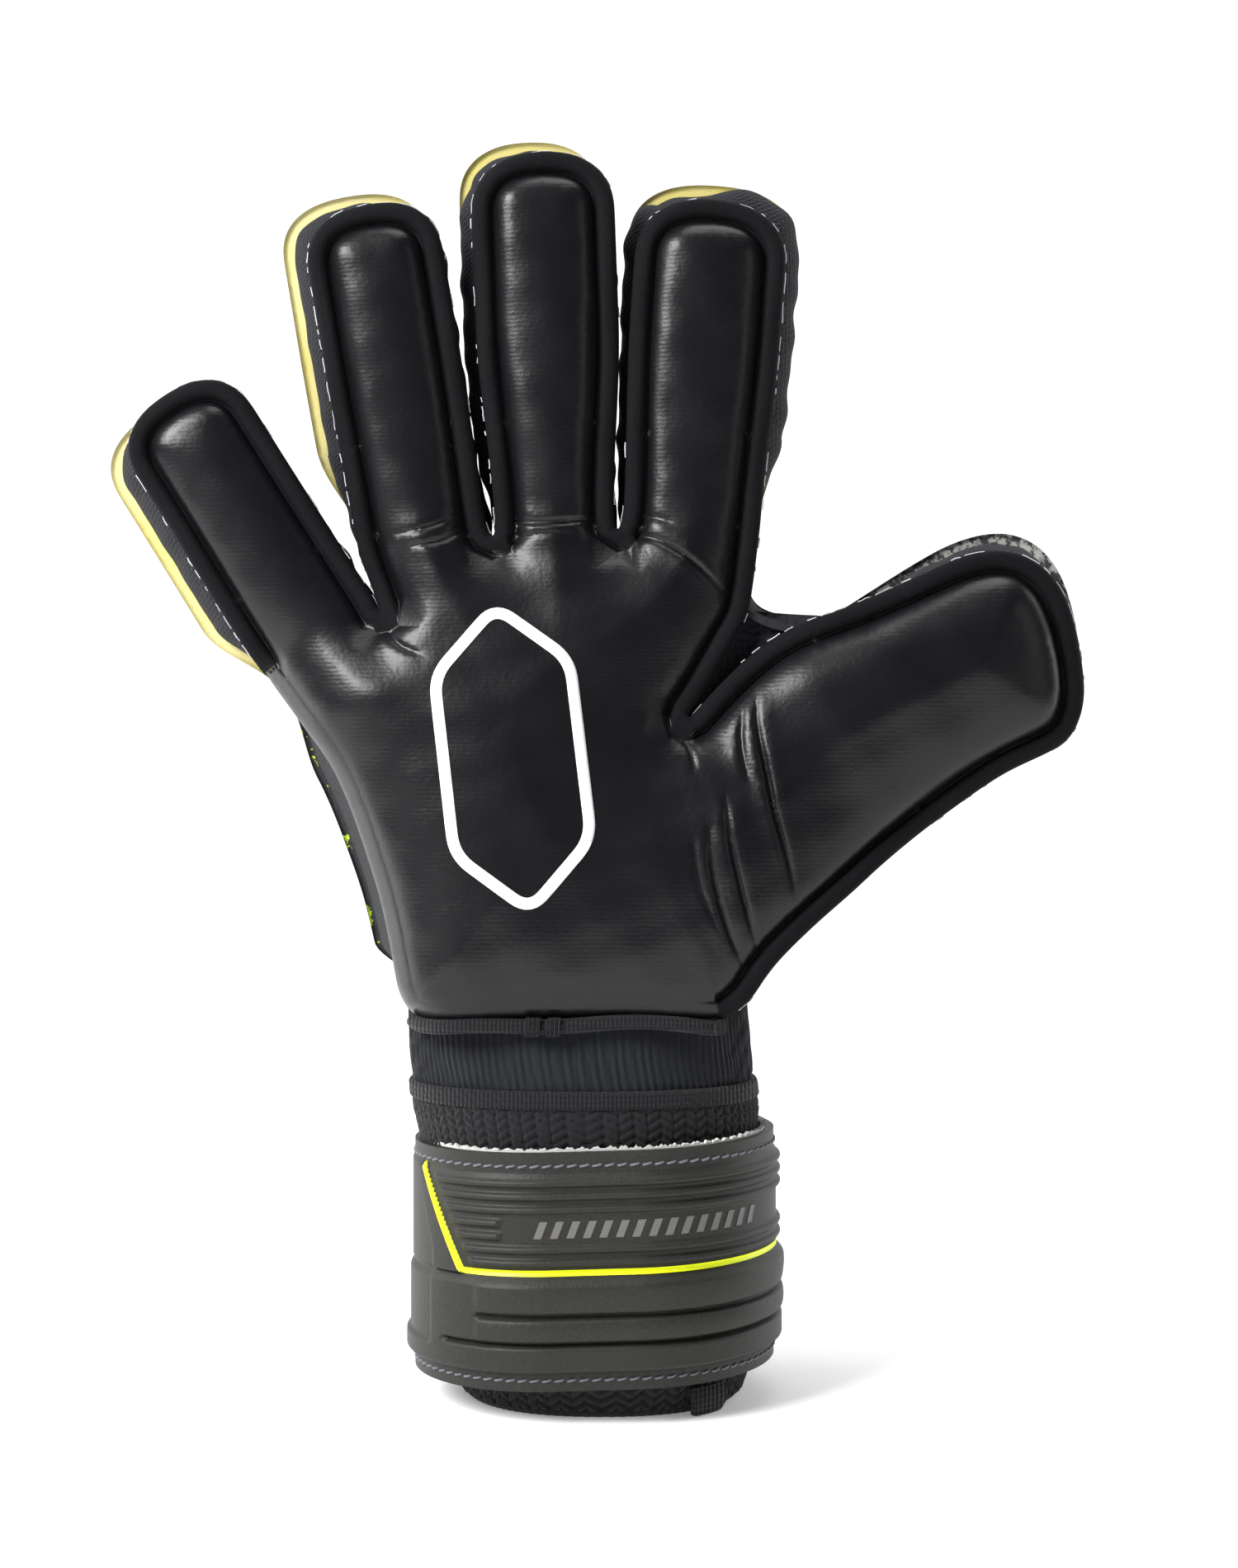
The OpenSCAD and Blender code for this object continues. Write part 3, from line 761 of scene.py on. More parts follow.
def shift_back(p):
    """How the back of each finger is set off sideways and upwards from its front.

    The shift is nothing where a finger or the thumb meets the palm, so that the cut there stays in line.
    """
    owner = piece_of(p)
    out = np.zeros_like(p)
    moves = {"pinky": (-8.5, -3.4, 3.6), "ring": (-7.5, -3.2, 8.5), "middle": (-4.0, -3.0, 8.5),
             "index": (-2.0, 3.4, 9.0)}
    for k, name in enumerate(FINGERS):
        root, across, up = finger_axes(name)
        mine = (owner == 1 + 2 * k) | (owner == 2 + 2 * k)
        lv = level(name, p) - BEND[name][0][0]
        left, right, rise = moves[name]
        u = smooth(((p - root) @ across / 17 + 1) / 2)
        side = (left + (right - left) * u) * smooth(lv / 22)
        out += mine[:, None] * (side[:, None] * across + (rise * smooth(lv / 65))[:, None] * up)
    side = smooth((-30 - p[:, 0]) / 16) * smooth((p[:, 1] - 92) / 10) * (1 - smooth((p[:, 1] - 142) / 22))
    out[:, 0] -= 8.0 * side * (owner == 0)
    amount = smooth((p @ THUMB_U - THUMB_BEND[0]) / 34) * (owner == len(NAMES) - 1)
    return out + amount[:, None] * (3.6 * THUMB_N + 7.5 * THUMB_U)


# Raised pads of the backhand: x, lowest and highest z of the middle line, and radius
PADS = [(-42.0 + 16.5 * k, 106.0 + 5.0 * (k % 2), 158.0 + 4.0 * (k % 2), 5.4) for k in range(4)]


def back_depth(p):
    """Back skin's y, its inner skin's y, the distance from the edge and how far a point is on a pad."""
    d = np.maximum(distance(p, back_loop)[0], 0)
    _, kt, kf = fades(p)
    base = back_base(p)
    rise = np.maximum(d - 3, 0)
    dome = ((5.0 * (1 - np.exp(-rise / 14))) * (1 - kf) + 2.6 * (1 - np.exp(-rise / 5)) * kf) * (1 - kt)
    dome += 4.0 * (1 - np.exp(-rise / 8)) * kt
    edge = np.interp(d, [0, 0.5, 1.4, 2.6, 3.2, 3.6, 4.15, 4.9, 6.4],
                     [2.6, 1.5, 0.7, 0.5, 1.2, 1.6, 0.9, 0.35, 0])
    pads = np.zeros(len(p))
    for x, z0, z1, r in PADS:
        away = np.hypot(p[:, 0] - x, p[:, 1] - np.clip(p[:, 1], z0, z1))
        pads = np.maximum(pads, smooth((r + 0.9 - away) / 1.8))
    notch = np.zeros(len(p))
    pieces = piece_of(p)
    for name in FINGERS:
        m0, m1 = BEND[name][1]
        lv = level(name, p)
        on_finger = np.array([n.startswith(name) for n in NAMES])[pieces]
        for z in ((m0 + m1) / 2, m0 - 15, m1 + 11):
            notch += 1.1 * np.exp(-((lv - z) / 1.0) ** 2) * on_finger
    y = base + dome - edge + 2.0 * pads - notch * smooth((d - 4) / 3)
    return y, np.minimum(base - BACK_FOAM + 0.5 * dome, y - 1.5), d, pads


def raw_edge_bits():
    """Short white threads along the raw edge, as lists of points with their piece."""
    y = front_depth(front_loop)[0]
    out = -inward(front_loop)
    n = len(front_loop)
    left = out[:, 0] < -0.25
    pieces = piece_of(front_loop)
    bits = []
    k = 0
    while k < n - 12:
        run = int(rng.integers(1, 5))
        x, z = front_loop[k]
        wanted = 0.8 if left[k] and x < 0 and z > 165 else 0.35
        if out[k, 0] > 0.2 and 30 < x < 48 and z > 200:
            wanted = 0.85
        if out[k, 1] > 0.5 and z > 165:
            wanted = 0.8
        same = len(set(pieces[k:k + run + 1])) == 1
        if front_kinds[k, RIM] > 0.95 and rng.random() < wanted and same:
            idx = np.arange(k, k + run + 1)
            jig = rng.uniform(-0.12, 0.12, (len(idx), 3))
            p = front_loop[idx] + 0.12 * out[idx]
            depth = y[idx] + 0.35
            bits.append((pieces[k], np.stack([p[:, 0], depth, p[:, 1]], axis=1) + jig))
        k += run + int(rng.integers(1, 4))
    return bits


def bits_geometry(bits, piece):
    """Points and quads of one piece's threads, each of its own thickness."""
    parts = []
    for owner, path in bits:
        if owner == piece:
            size = rng.uniform(0.10, 0.18)
            parts.append(tube_along(path, size, size, 4))
    verts, faces = joined(parts)
    return np.array(verts).reshape(-1, 3), np.array(faces, int).reshape(-1, 4)


# ---------------------------------------------------------------- riding on the glove, or baked in place
def bend(ob, piece):
    """Rides the palm piece on the glove; the other pieces only have their placement baked into their meshes.
    """
    if piece == "palm":
        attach(ob, "glove")
        return
    if piece == "thumb":
        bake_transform(ob)
        return
    name, part = piece.split("_")
    if part == "lower":
        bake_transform(ob)
    else:
        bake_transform(ob)


def on_glove(ob, slot_name, *nodes):
    """Rides a visual piece on the glove's body, in place of the CAD nodes named."""
    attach(ob, "glove")
    if nodes:
        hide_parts(*nodes)


def cad_name(piece, layer):
    """The CAD node a visual piece stands for."""
    if piece == "palm":
        return {"foam": "palm_foam", "gusset": "root_gussets", "back": "backhand_panel"}[layer]
    if piece == "thumb":
        return f"thumb_tip_{layer}"
    return f"{piece}_{layer}"


# ---------------------------------------------------------------- palm side
def make_front():
    """The one-piece latex palm with its fingers, and the white threads of its raw edge."""
    verts, tris = triangulate(front_loop, FINE, crease_points())
    y, inner, d = front_depth(verts)
    outer = np.stack([verts[:, 0], y, verts[:, 1]], axis=1)
    inside = np.stack([verts[:, 0], inner, verts[:, 1]], axis=1)
    n_out, n_in = vertex_normals(outer, tris), -vertex_normals(inside, tris)
    owner = piece_of(verts[tris].mean(axis=1))
    _, near = distance(verts, front_loop)
    rim_face = (d[tris].mean(axis=1) < 4.45) & (front_kinds[near][tris[:, 0], RIM] > 0.5)
    bits = raw_edge_bits()
    for k, piece in enumerate(NAMES):
        mine = owner == k
        threads = bits_geometry(bits, k)
        ob = closed_sheet(f"{piece}_palm_foam", outer, inside, tris[mine], n_out, n_in,
                          [LATEX, SUEDE, LINING, RAW], rim_face[mine].astype(int), 1, 2, (*threads, 3))
        bend(ob, piece)
        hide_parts(cad_name(piece, "foam"))


# ---------------------------------------------------------------- back side
def make_back():
    """The backhand with its pads, and the backs of the fingers and the thumb."""
    verts, tris = triangulate(back_loop, FINE + 0.5, np.zeros((0, 2)))
    y, inner, d, pads = back_depth(verts)
    at = verts + shift_back(verts)
    outer = np.stack([at[:, 0], y, at[:, 1]], axis=1)
    inside = np.stack([at[:, 0], inner, at[:, 1]], axis=1)
    flipped = tris[:, ::-1]
    n_out, n_in = vertex_normals(outer, flipped), -vertex_normals(inside, flipped)
    owner = piece_of(verts[tris].mean(axis=1))
    pad_face = pads[tris].mean(axis=1) > 0.5
    inside_mat = np.where(d[tris].mean(axis=1) < 2.4, 0, 2)
    for k, piece in enumerate(NAMES):
        mine = owner == k
        main = BACKHAND if piece == "palm" else THUMBBACK if piece == "thumb" else YELLOW
        ob = closed_sheet(f"{piece}_back_foam", outer, inside, flipped[mine], n_out, n_in,
                          [main, PAD, LINING], pad_face[mine].astype(int), 0, inside_mat[mine])
        bend(ob, piece)
        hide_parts(cad_name(piece, "back"))
        if piece == "palm":
            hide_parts("backhand_ribs", "backhand_lining")


# ---------------------------------------------------------------- mesh between the two sides
def gap_outside(loop):
    """How far it is from each point of the loop, going outwards, to the loop's other side."""
    out = -inward(loop)
    gap = np.full(len(loop), 100.0)
    for k in range(len(loop)):
        d = loop - loop[k]
        dist = np.linalg.norm(d, axis=1)
        ahead = (d @ out[k] > 0.8 * dist) & (dist > 0.01) & (out @ out[k] < -0.3)
        if ahead.any():
            gap[k] = dist[ahead].min()
    return gap


def gusset_rows(loop, kinds, rows=13):
    """Grid of points from the front's stitch line to the back's, outer and inner skins."""
    n_in = inward(loop)
    roll = kinds[:, 0:1]
    fp = loop + n_in * (4.7 * (1 - roll) + 1.2 * roll)
    bp = loop + n_in * (2.6 - 1.4 * roll)
    _, f_inner, _ = front_depth(fp)
    fy = f_inner - 0.8
    by = back_depth(bp)[1] + 0.8
    bp = bp + shift_back(loop)
    t = np.linspace(0, 1, rows)[:, None]
    s = np.arange(len(loop))
    gap = gap_outside(loop)
    room = np.clip(gap / 2 - 0.9, -1.6, 0.7)
    swell = 1.7 + 2.6 * smooth((14 - gap) / 8) + room
    swell += 3.2 * smooth((loop[:, 0] - 24) / 8) * smooth((loop[:, 1] - 205) / 15)
    swell += 0.25 * np.sin(0.5 * s) + 0.2 * np.sin(0.83 * s + 1)
    puff = np.sin(math.pi * t) ** 0.8 * (swell * (1 - roll[:, 0]))[None]
    x = fp[:, 0] * (1 - t) + bp[:, 0] * t - n_in[:, 0] * puff
    z = fp[:, 1] * (1 - t) + bp[:, 1] * t - n_in[:, 1] * puff
    y = fy * (1 - t) + by * t
    outer = np.stack([x, y, z], axis=-1)
    inner = outer + np.stack([n_in[:, 0], 0 * s, n_in[:, 1]], axis=-1)[None] * 1.2
    return outer, inner


def with_crossings(loop, kinds):
    """The loop with a point added exactly where it passes from one piece to the next."""
    out, tags = [], []
    pieces = piece_of(loop)
    n = len(loop)
    for k in range(n):
        out.append(loop[k])
        tags.append(kinds[k])
        a, b = pieces[k], pieces[(k + 1) % n]
        if a == b:
            continue
        lo, hi = 0.0, 1.0
        p, q = loop[k], loop[(k + 1) % n]
        for _ in range(30):
            mid = (lo + hi) / 2
            if piece_of((p + mid * (q - p))[None])[0] == a:
                lo = mid
            else:
                hi = mid
        out.append(p + lo * (q - p))
        tags.append(kinds[k])
    return np.array(out), np.array(tags)


def make_gussets():
    """Mesh sides between the foam's two sides, all the way round but for the wrist."""
    loop, kinds = with_crossings(back_loop, back_kinds)
    keep = kinds[:, HEMMED] < 0.35
    first = int(np.argmax(keep & ~np.roll(keep, 1)))
    loop, kinds, keep = (np.roll(a, -first, axis=0) for a in (loop, kinds, keep))
    count = int(np.argmin(keep)) if not keep.all() else len(keep)
    loop, kinds = loop[:count], kinds[:count]
    outer, inner = gusset_rows(loop, kinds)
    rows, cols = outer.shape[:2]
    q = grid_faces(rows, cols)
    tris = np.vstack([q[:, [0, 1, 2]], q[:, [0, 2, 3]]])[:, ::-1]
    o, i = outer.reshape(-1, 3), inner.reshape(-1, 3)
    n_out, n_in = vertex_normals(o, tris), -vertex_normals(i, tris)
    mid = (loop[:-1] + loop[1:]) / 2
    face_piece = np.tile(piece_of(mid), 2 * (rows - 1))
    for k, piece in enumerate(NAMES):
        mine = face_piece == k
        ob = closed_sheet(f"{piece}_gusset_mesh", o, i, tris[mine], n_out, n_in,
                          [MESH, LINING], np.zeros(mine.sum(), int), 1, 1)
        bend(ob, piece)
        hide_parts(cad_name(piece, "gusset"))
        if piece == "palm":
            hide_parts("index_side_gusset", "thumb_side_gusset", "pinky_side_wrap", "palm_lining")


def make_web():
    """The slack mesh triangle between index finger and thumb."""
    a, b, c = np.array([15.5, 149.0]), np.array([31.5, 180.4]), np.array([49.0, 178.8])
    n = 22
    grid = []
    for i in range(n):
        t = i / (n - 1)
        left, right = a + (b - a) * t, a + (c - a) * t
        grid.append([left + (right - left) * j / (n - 1) for j in range(n)])
    p = np.array(grid).reshape(-1, 2)
    u = np.tile(np.linspace(0, 1, n), n)
    t = np.repeat(np.linspace(0, 1, n), n)
    y = front_base(p) + 4.4 + 3.5 * np.sin(math.pi * u) * t + 0.5 * np.sin(9 * t + 4 * u)
    outer = np.stack([p[:, 0], y, p[:, 1]], axis=1).reshape(n, n, 3)
    outer[0] += np.linspace(-0.02, 0.02, n)[:, None] * np.array([1, 0, 0])
    inner = outer + np.array([0, 1.1, 0])
    ob = shell("thumb_web_mesh", outer, inner, WEB, sharp=60)
    on_glove(ob, "mesh_knit", "thumb_web_gusset")


# ---------------------------------------------------------------- printed mark and hem
def make_print():
    """A stretched hexagon with round corners, drawn as a raised white line on the palm."""
    cx, cz, turn = -19.6, 146.6, math.radians(7)
    w, h, s = 15.2, 34.0, 20.0
    corners = np.array([(0, h), (w, s), (w, -s), (0, -h), (-w, -s), (-w, s)], float)
    ring = []
    for k in range(6):
        p, c, q = corners[k - 1], corners[k], corners[(k + 1) % 6]
        a, b = c + 4.5 * (p - c) / np.linalg.norm(p - c), c + 4.5 * (q - c) / np.linalg.norm(q - c)
        t = np.linspace(0, 1, 9)[:, None]
        ring.append((1 - t) ** 2 * a + 2 * t * (1 - t) * c + t * t * b)
    ring, _ = even(np.vstack(ring), np.zeros(54), 1.0)
    n = inward(ring)
    turned = np.array([[math.cos(turn), -math.sin(turn)], [math.sin(turn), math.cos(turn)]])
    offs = np.linspace(-1.3, 1.3, 6)
    rows = []
    for o in offs:
        rows.append((ring + o * n) @ turned.T + np.array([cx, cz]))
    p = np.array(rows)
    y = front_depth(p.reshape(-1, 2))[0].reshape(p.shape[:2])
    crown = 0.42 * (1 - (offs / 1.5) ** 2)[:, None] + 0.08
    outer = np.stack([p[..., 0], y - crown, p[..., 1]], axis=-1)
    inner = np.stack([p[..., 0], y + 0.4, p[..., 1]], axis=-1)
    ob = shell("palm_print_line", outer[::-1], inner[::-1], WHITE, wrap=True, sharp=70)
    on_glove(ob, "white_print", "palm_print")


def make_hem():
    """The tape along the palm's lower edge, and the two bar tacks on it."""
    p = front_loop[front_kinds[:, HEMMED] > 0.3]
    p = p[np.argsort(p[:, 0])]
    y = front_depth(p)[0]
    sag = 0.5 * np.sin(p[:, 0] * 0.16)
    path = np.stack([p[:, 0], y - 1.6, p[:, 1] - 1.3 + sag], axis=1)
    v, f = tube_along(path, 1.7, 1.9, 12)
    ob = build("palm_hem_tape", v, f, [TAPE])
    on_glove(ob, "binding_tape", "palm_hem_binding")
    threads = []
    for x in np.concatenate([np.linspace(-16.4, -13.6, 7), np.linspace(-11.6, -9.2, 6)]):
        _, y, z = path[np.abs(path[:, 0] - x).argmin()]
        pts = [(x - 0.15, y - 1.7, z - 2.0), (x, y - 2.5, z), (x + 0.15, y - 1.8, z + 2.2)]
        threads.append(tube_along(pts, 0.22, 0.28, 6))
    ob = build("hem_tack_threads", *joined(threads), [TAPE])
    on_glove(ob, "binding_tape", "hem_bar_tacks")


# ---------------------------------------------------------------- wrist, cuff and strap
def wrist_ring(cx, cy, a, b, count, power=2.25):
    """A squarish oval, counter-clockwise from above, starting at the back."""
    t = np.linspace(0, 2 * math.pi, count, endpoint=False) + math.pi / 2
    c, s = np.cos(t), np.sin(t)
    x = cx + a * np.sign(c) * np.abs(c) ** (2 / power)
    y = cy + b * np.sign(s) * np.abs(s) ** (2 / power)
    return np.stack([x, y], axis=1)


def tube_shell(name, zs, size, thick, relief, mat, count):
    """A closed knitted tube; size(z) gives centre and half widths, relief(i, z) the surface's height."""
    outer, inner = [], []
    for z in zs:
        cx, cy, a, b = size(z)
        ring = wrist_ring(cx, cy, a, b, count)
        tangent = np.roll(ring, -1, axis=0) - np.roll(ring, 1, axis=0)
        n = np.stack([tangent[:, 1], -tangent[:, 0]], axis=1)
        n /= np.linalg.norm(n, axis=1, keepdims=True)
        out = ring + n * relief(np.arange(count), z)[:, None]
        outer.append(np.column_stack([out, np.full(count, z)]))
        inner.append(np.column_stack([ring - n * thick, np.full(count, z)]))
    return shell(name, np.array(outer), np.array(inner), mat, wrap=True, sharp=55)


def cuff_size(z):
    """Centre and half widths of the cuff: narrow at its foot, leaning to the left as it rises."""
    cx = np.interp(z, [0, 34, 64, 80, 92], [0.2, -1.5, -3.4, -5.2, -5.4])
    a = np.interp(z, [0, 1.5, 5, 12, 60, 66, 72, 92], [30.5, 32.0, 33.4, 36.5, 38.6, 39.6, 39.4, 39.8])
    b = np.interp(z, [0, 1.5, 5, 12, 66, 74, 92], [24.0, 25.0, 26.0, 28.0, 28.2, 27.2, 23.6])
    return cx, -0.8, a, b


def make_cuff():
    """The knitted cuff with its hem, the ribbed wrist above it, their tape and the pull tab."""
    count = 520
    rows_z = np.arange(1.6, 69.4, 0.46)

    def knit(i, z):
        s = i * 212.0 / count
        zig = np.abs(((s / 2.65) % 2) - 1)
        r = (z + 1.9 * zig) / 2.1
        return 0.8 * np.abs(np.sin(math.pi * r)) ** 0.6 - 0.35 * (np.abs(zig - 0.5) > 0.4) - 0.2

    ob = tube_shell("knit_cuff_yarn", rows_z, cuff_size, 2.4, knit, YARN, count)
    on_glove(ob, "cuff_knit", "knit_cuff")

    def hem(i, z):
        return 0.5 * math.sqrt(max(0, 1 - ((z - 0.9) / 0.95) ** 2)) - 0.3 + 0.12 * np.sin(i * 1.1)

    ob = tube_shell("cuff_hem_edge", np.linspace(0.0, 1.8, 8), cuff_size, 2.0, hem, YARN, count)
    on_glove(ob, "cuff_knit", "cuff_hem")

    def ribbed(i, z):
        s = i * 216.0 / count
        return (0.22 * np.sin(s * 3.6 + 0.25 * z) + 0.35 * math.sin((z - 71) / 17 * math.pi)
                + 0.25 * np.sin(s * 0.35 + z * 0.2) * (z > 74))

    def wrist_size(z):
        cx, cy, a, b = cuff_size(z)
        return cx, cy, a - 0.4, b - 0.8

    zs = np.arange(71.2, 95.1, 0.8)
    ob = tube_shell("wrist_mesh_knit", zs, wrist_size, 1.6, ribbed, RIBKNIT, count)
    on_glove(ob, "wrist_elastic", "wrist_mesh")

    def band(i, z):
        edge = min(z - 68.7, 72.6 - z)
        return 0.65 + 0.35 * min(1, edge / 0.5) + 0.10 * np.sin(i * 0.9 + 3 * z)

    ob = tube_shell("wrist_tape_band", np.linspace(68.7, 72.6, 9), cuff_size, 2.0, band, TAPE, count)
    on_glove(ob, "binding_tape", "wrist_tape")

    a = math.radians(-47)
    cx, cy, ra, rb = cuff_size(3)
    u = np.linspace(-1, 1, 9)
    w = np.linspace(0, 1, 13)
    out, inn = [], []
    for k in w:
        z = 0.15 + 6.2 * k
        r = 1.0 + (2.6 + 0.9 * math.sin(math.pi * k)) / 30
        half = 5.4 * (1 - 0.25 * (1 - k) ** 3)
        base = np.array([cx + ra * r * math.cos(a), cy + rb * 1.06 * r * math.sin(a)])
        tang = np.array([-math.sin(a), math.cos(a)])
        pts = base + (half * u)[:, None] * tang
        nrm = np.array([math.cos(a), math.sin(a)])
        curl = 0.5 * u ** 2
        out.append(np.column_stack([pts - nrm * curl[:, None], np.full(9, z)]))
        inn.append(np.column_stack([pts - nrm * (curl[:, None] + 1.3), np.full(9, z)]))
    ob = shell("pull_tab_loop", np.array(out), np.array(inn), TAPE)
    on_glove(ob, "binding_tape", "pull_tab")


# The strap's course: two half circles joined by straights, s the way along it from the front's middle
STRAP_R = 33.0
FLAT = 9
CX, CY = -1.7, -0.8
HINGE_TURN = 140.25
S_LEFT = -(FLAT + STRAP_R * math.radians(120))
S_HINGE = FLAT + STRAP_R * math.radians(HINGE_TURN)
S_BACK = FLAT + STRAP_R * math.pi
S_END = S_BACK + 2 * FLAT + STRAP_R * math.radians(44)
Z0, Z1 = 8.2, 60.2
LINE_Z = 34.15
STRAP_TILT = 0.028


def strap_point(s, z, r):
    """Point at arc length s, height z and radius r; the strap tilts, higher to the right."""
    s, z, r = np.broadcast_arrays(*(np.asarray(v, float) for v in (s, z, r)))
    side = np.where(s < 0, -1.0, 1.0)
    q = np.abs(s)
    front = q <= FLAT
    arc = np.clip((q - FLAT) / STRAP_R, 0, math.pi)
    over = np.clip(s - S_BACK, 0, 2 * FLAT)
    turn = np.clip((s - S_BACK - 2 * FLAT) / STRAP_R, 0, 2)
    nx = np.where(front, 0, side * np.sin(arc)) - np.sin(turn)
    ny = np.where(front, -1, -np.cos(arc)) * np.where(turn > 0, np.cos(turn), 1)
    x = CX + np.where(front, s, side * FLAT) - over + nx * r
    return np.stack([x, CY + ny * r, z + STRAP_TILT * (x - CX)], axis=-1)


RIB_Z = [53.7, 50.8, 47.9, 45.0, 42.1, 39.2, 36.3]


def strap_relief(s, z):
    """Height of the moulded pattern over the strap's plain face."""
    slant = -30.2 - (z - 34.3) * 14 / 22.7
    from_slant = (s - slant) * 0.85
    upper = smooth(from_slant / 0.8) * smooth((z - 34.2) / 0.5) * smooth((56.0 - z) / 1.2)
    h = 0.55 * upper
    for k, c in enumerate(RIB_Z):
        start = slant + 3.0
        on = smooth((s - start) / 0.9)
        if k in (3, 4):
            on = on * smooth((-20.0 - s) / 0.9)
        h = h + 1.0 * on * np.maximum(0, 1 - ((z - c) / 0.95) ** 2) ** 0.7 * upper
    body = smooth((57.0 - z) / 1.5) * smooth((z - 11.6) / 1.6)
    wedge = 1.35 * body * (1 - smooth(from_slant / 0.9 + 0.5)) * smooth((s + 92) / 2)
    panel = smooth((-39.3 - np.maximum(0, z - 38) * 0.4 - s) / 1.2) * smooth((z - 16.5) / 1.2)
    wedge = wedge - 0.9 * panel * body
    t1 = smooth((s + 26.5) / 1.6)
    t2 = smooth((s + 36) / 1.6)
    lobes = 1.9 * smooth((34.4 - z) / 3.5) * body
    lobes = lobes + 0.55 * np.sin(np.clip((z - 25) / 9, 0, 1) * math.pi) * t1
    lobes = lobes + 0.45 * np.sin(np.clip((z - 18.8) / 5.6, 0, 1) * math.pi) * t1
    lobes = lobes - 1.5 * np.exp(-((z - 24.7) / 0.55) ** 2) * t1
    lobes = lobes - 1.5 * np.exp(-((z - 18.6) / 0.55) ** 2) * t2
    lobes = lobes * smooth((34.6 - z) / 0.8)
    lower = np.where(z < 34.6, lobes - 0.9 * panel * body, 0)
    return np.where(z < 34.6, np.maximum(lower, wedge * (z >= 33.6)), h + wedge)


def strap_radius(s):
    """The strap climbs over the closure at the back."""
    return 32.6 + 2.4 * smooth((s - (S_HINGE - 22)) / 20)


def strap_surface(s, z, lift=0.0):
    """Point on the moulded face, or lift above it."""
    return strap_point(s, z, strap_radius(s) + strap_relief(s, z) + lift)


def strap_piece(name, s0, s1, step):
    ns = max(2, int((s1 - s0) / step) + 1)
    nz = 176
    s = np.linspace(s0, s1, ns)[None, :]
    z = np.linspace(Z0, Z1, nz)[:, None]
    s, z = np.broadcast_arrays(s, z)
    return shell(name, strap_surface(s, z), strap_point(s, z, strap_radius(s) - 1.9), STRAP, sharp=65)


def strap_slab(name, s, z, r_out, r_in, mat):
    """A closed piece on the strap's course between two radii, both skins at the same heights."""
    outer, inner = strap_point(s, z, r_out), strap_point(s, z, r_in)
    inner[..., 2] = outer[..., 2]
    return shell(name, outer, inner, mat)


def dashes(z, s0, s1, pitch=2.75, length=2.1):
    """Stitches: short threads laid in a row, dipping into the strap at both ends."""
    t = np.linspace(-0.5, 0.5, 5)
    lift = 0.20 - 0.5 * (2 * t) ** 4
    middles = np.arange(s0 + 2, s1 - 2, pitch)
    return [tube_along(strap_surface(c + t * length, z + t * 0.45, lift), 0.26, 0.26, 6) for c in middles]


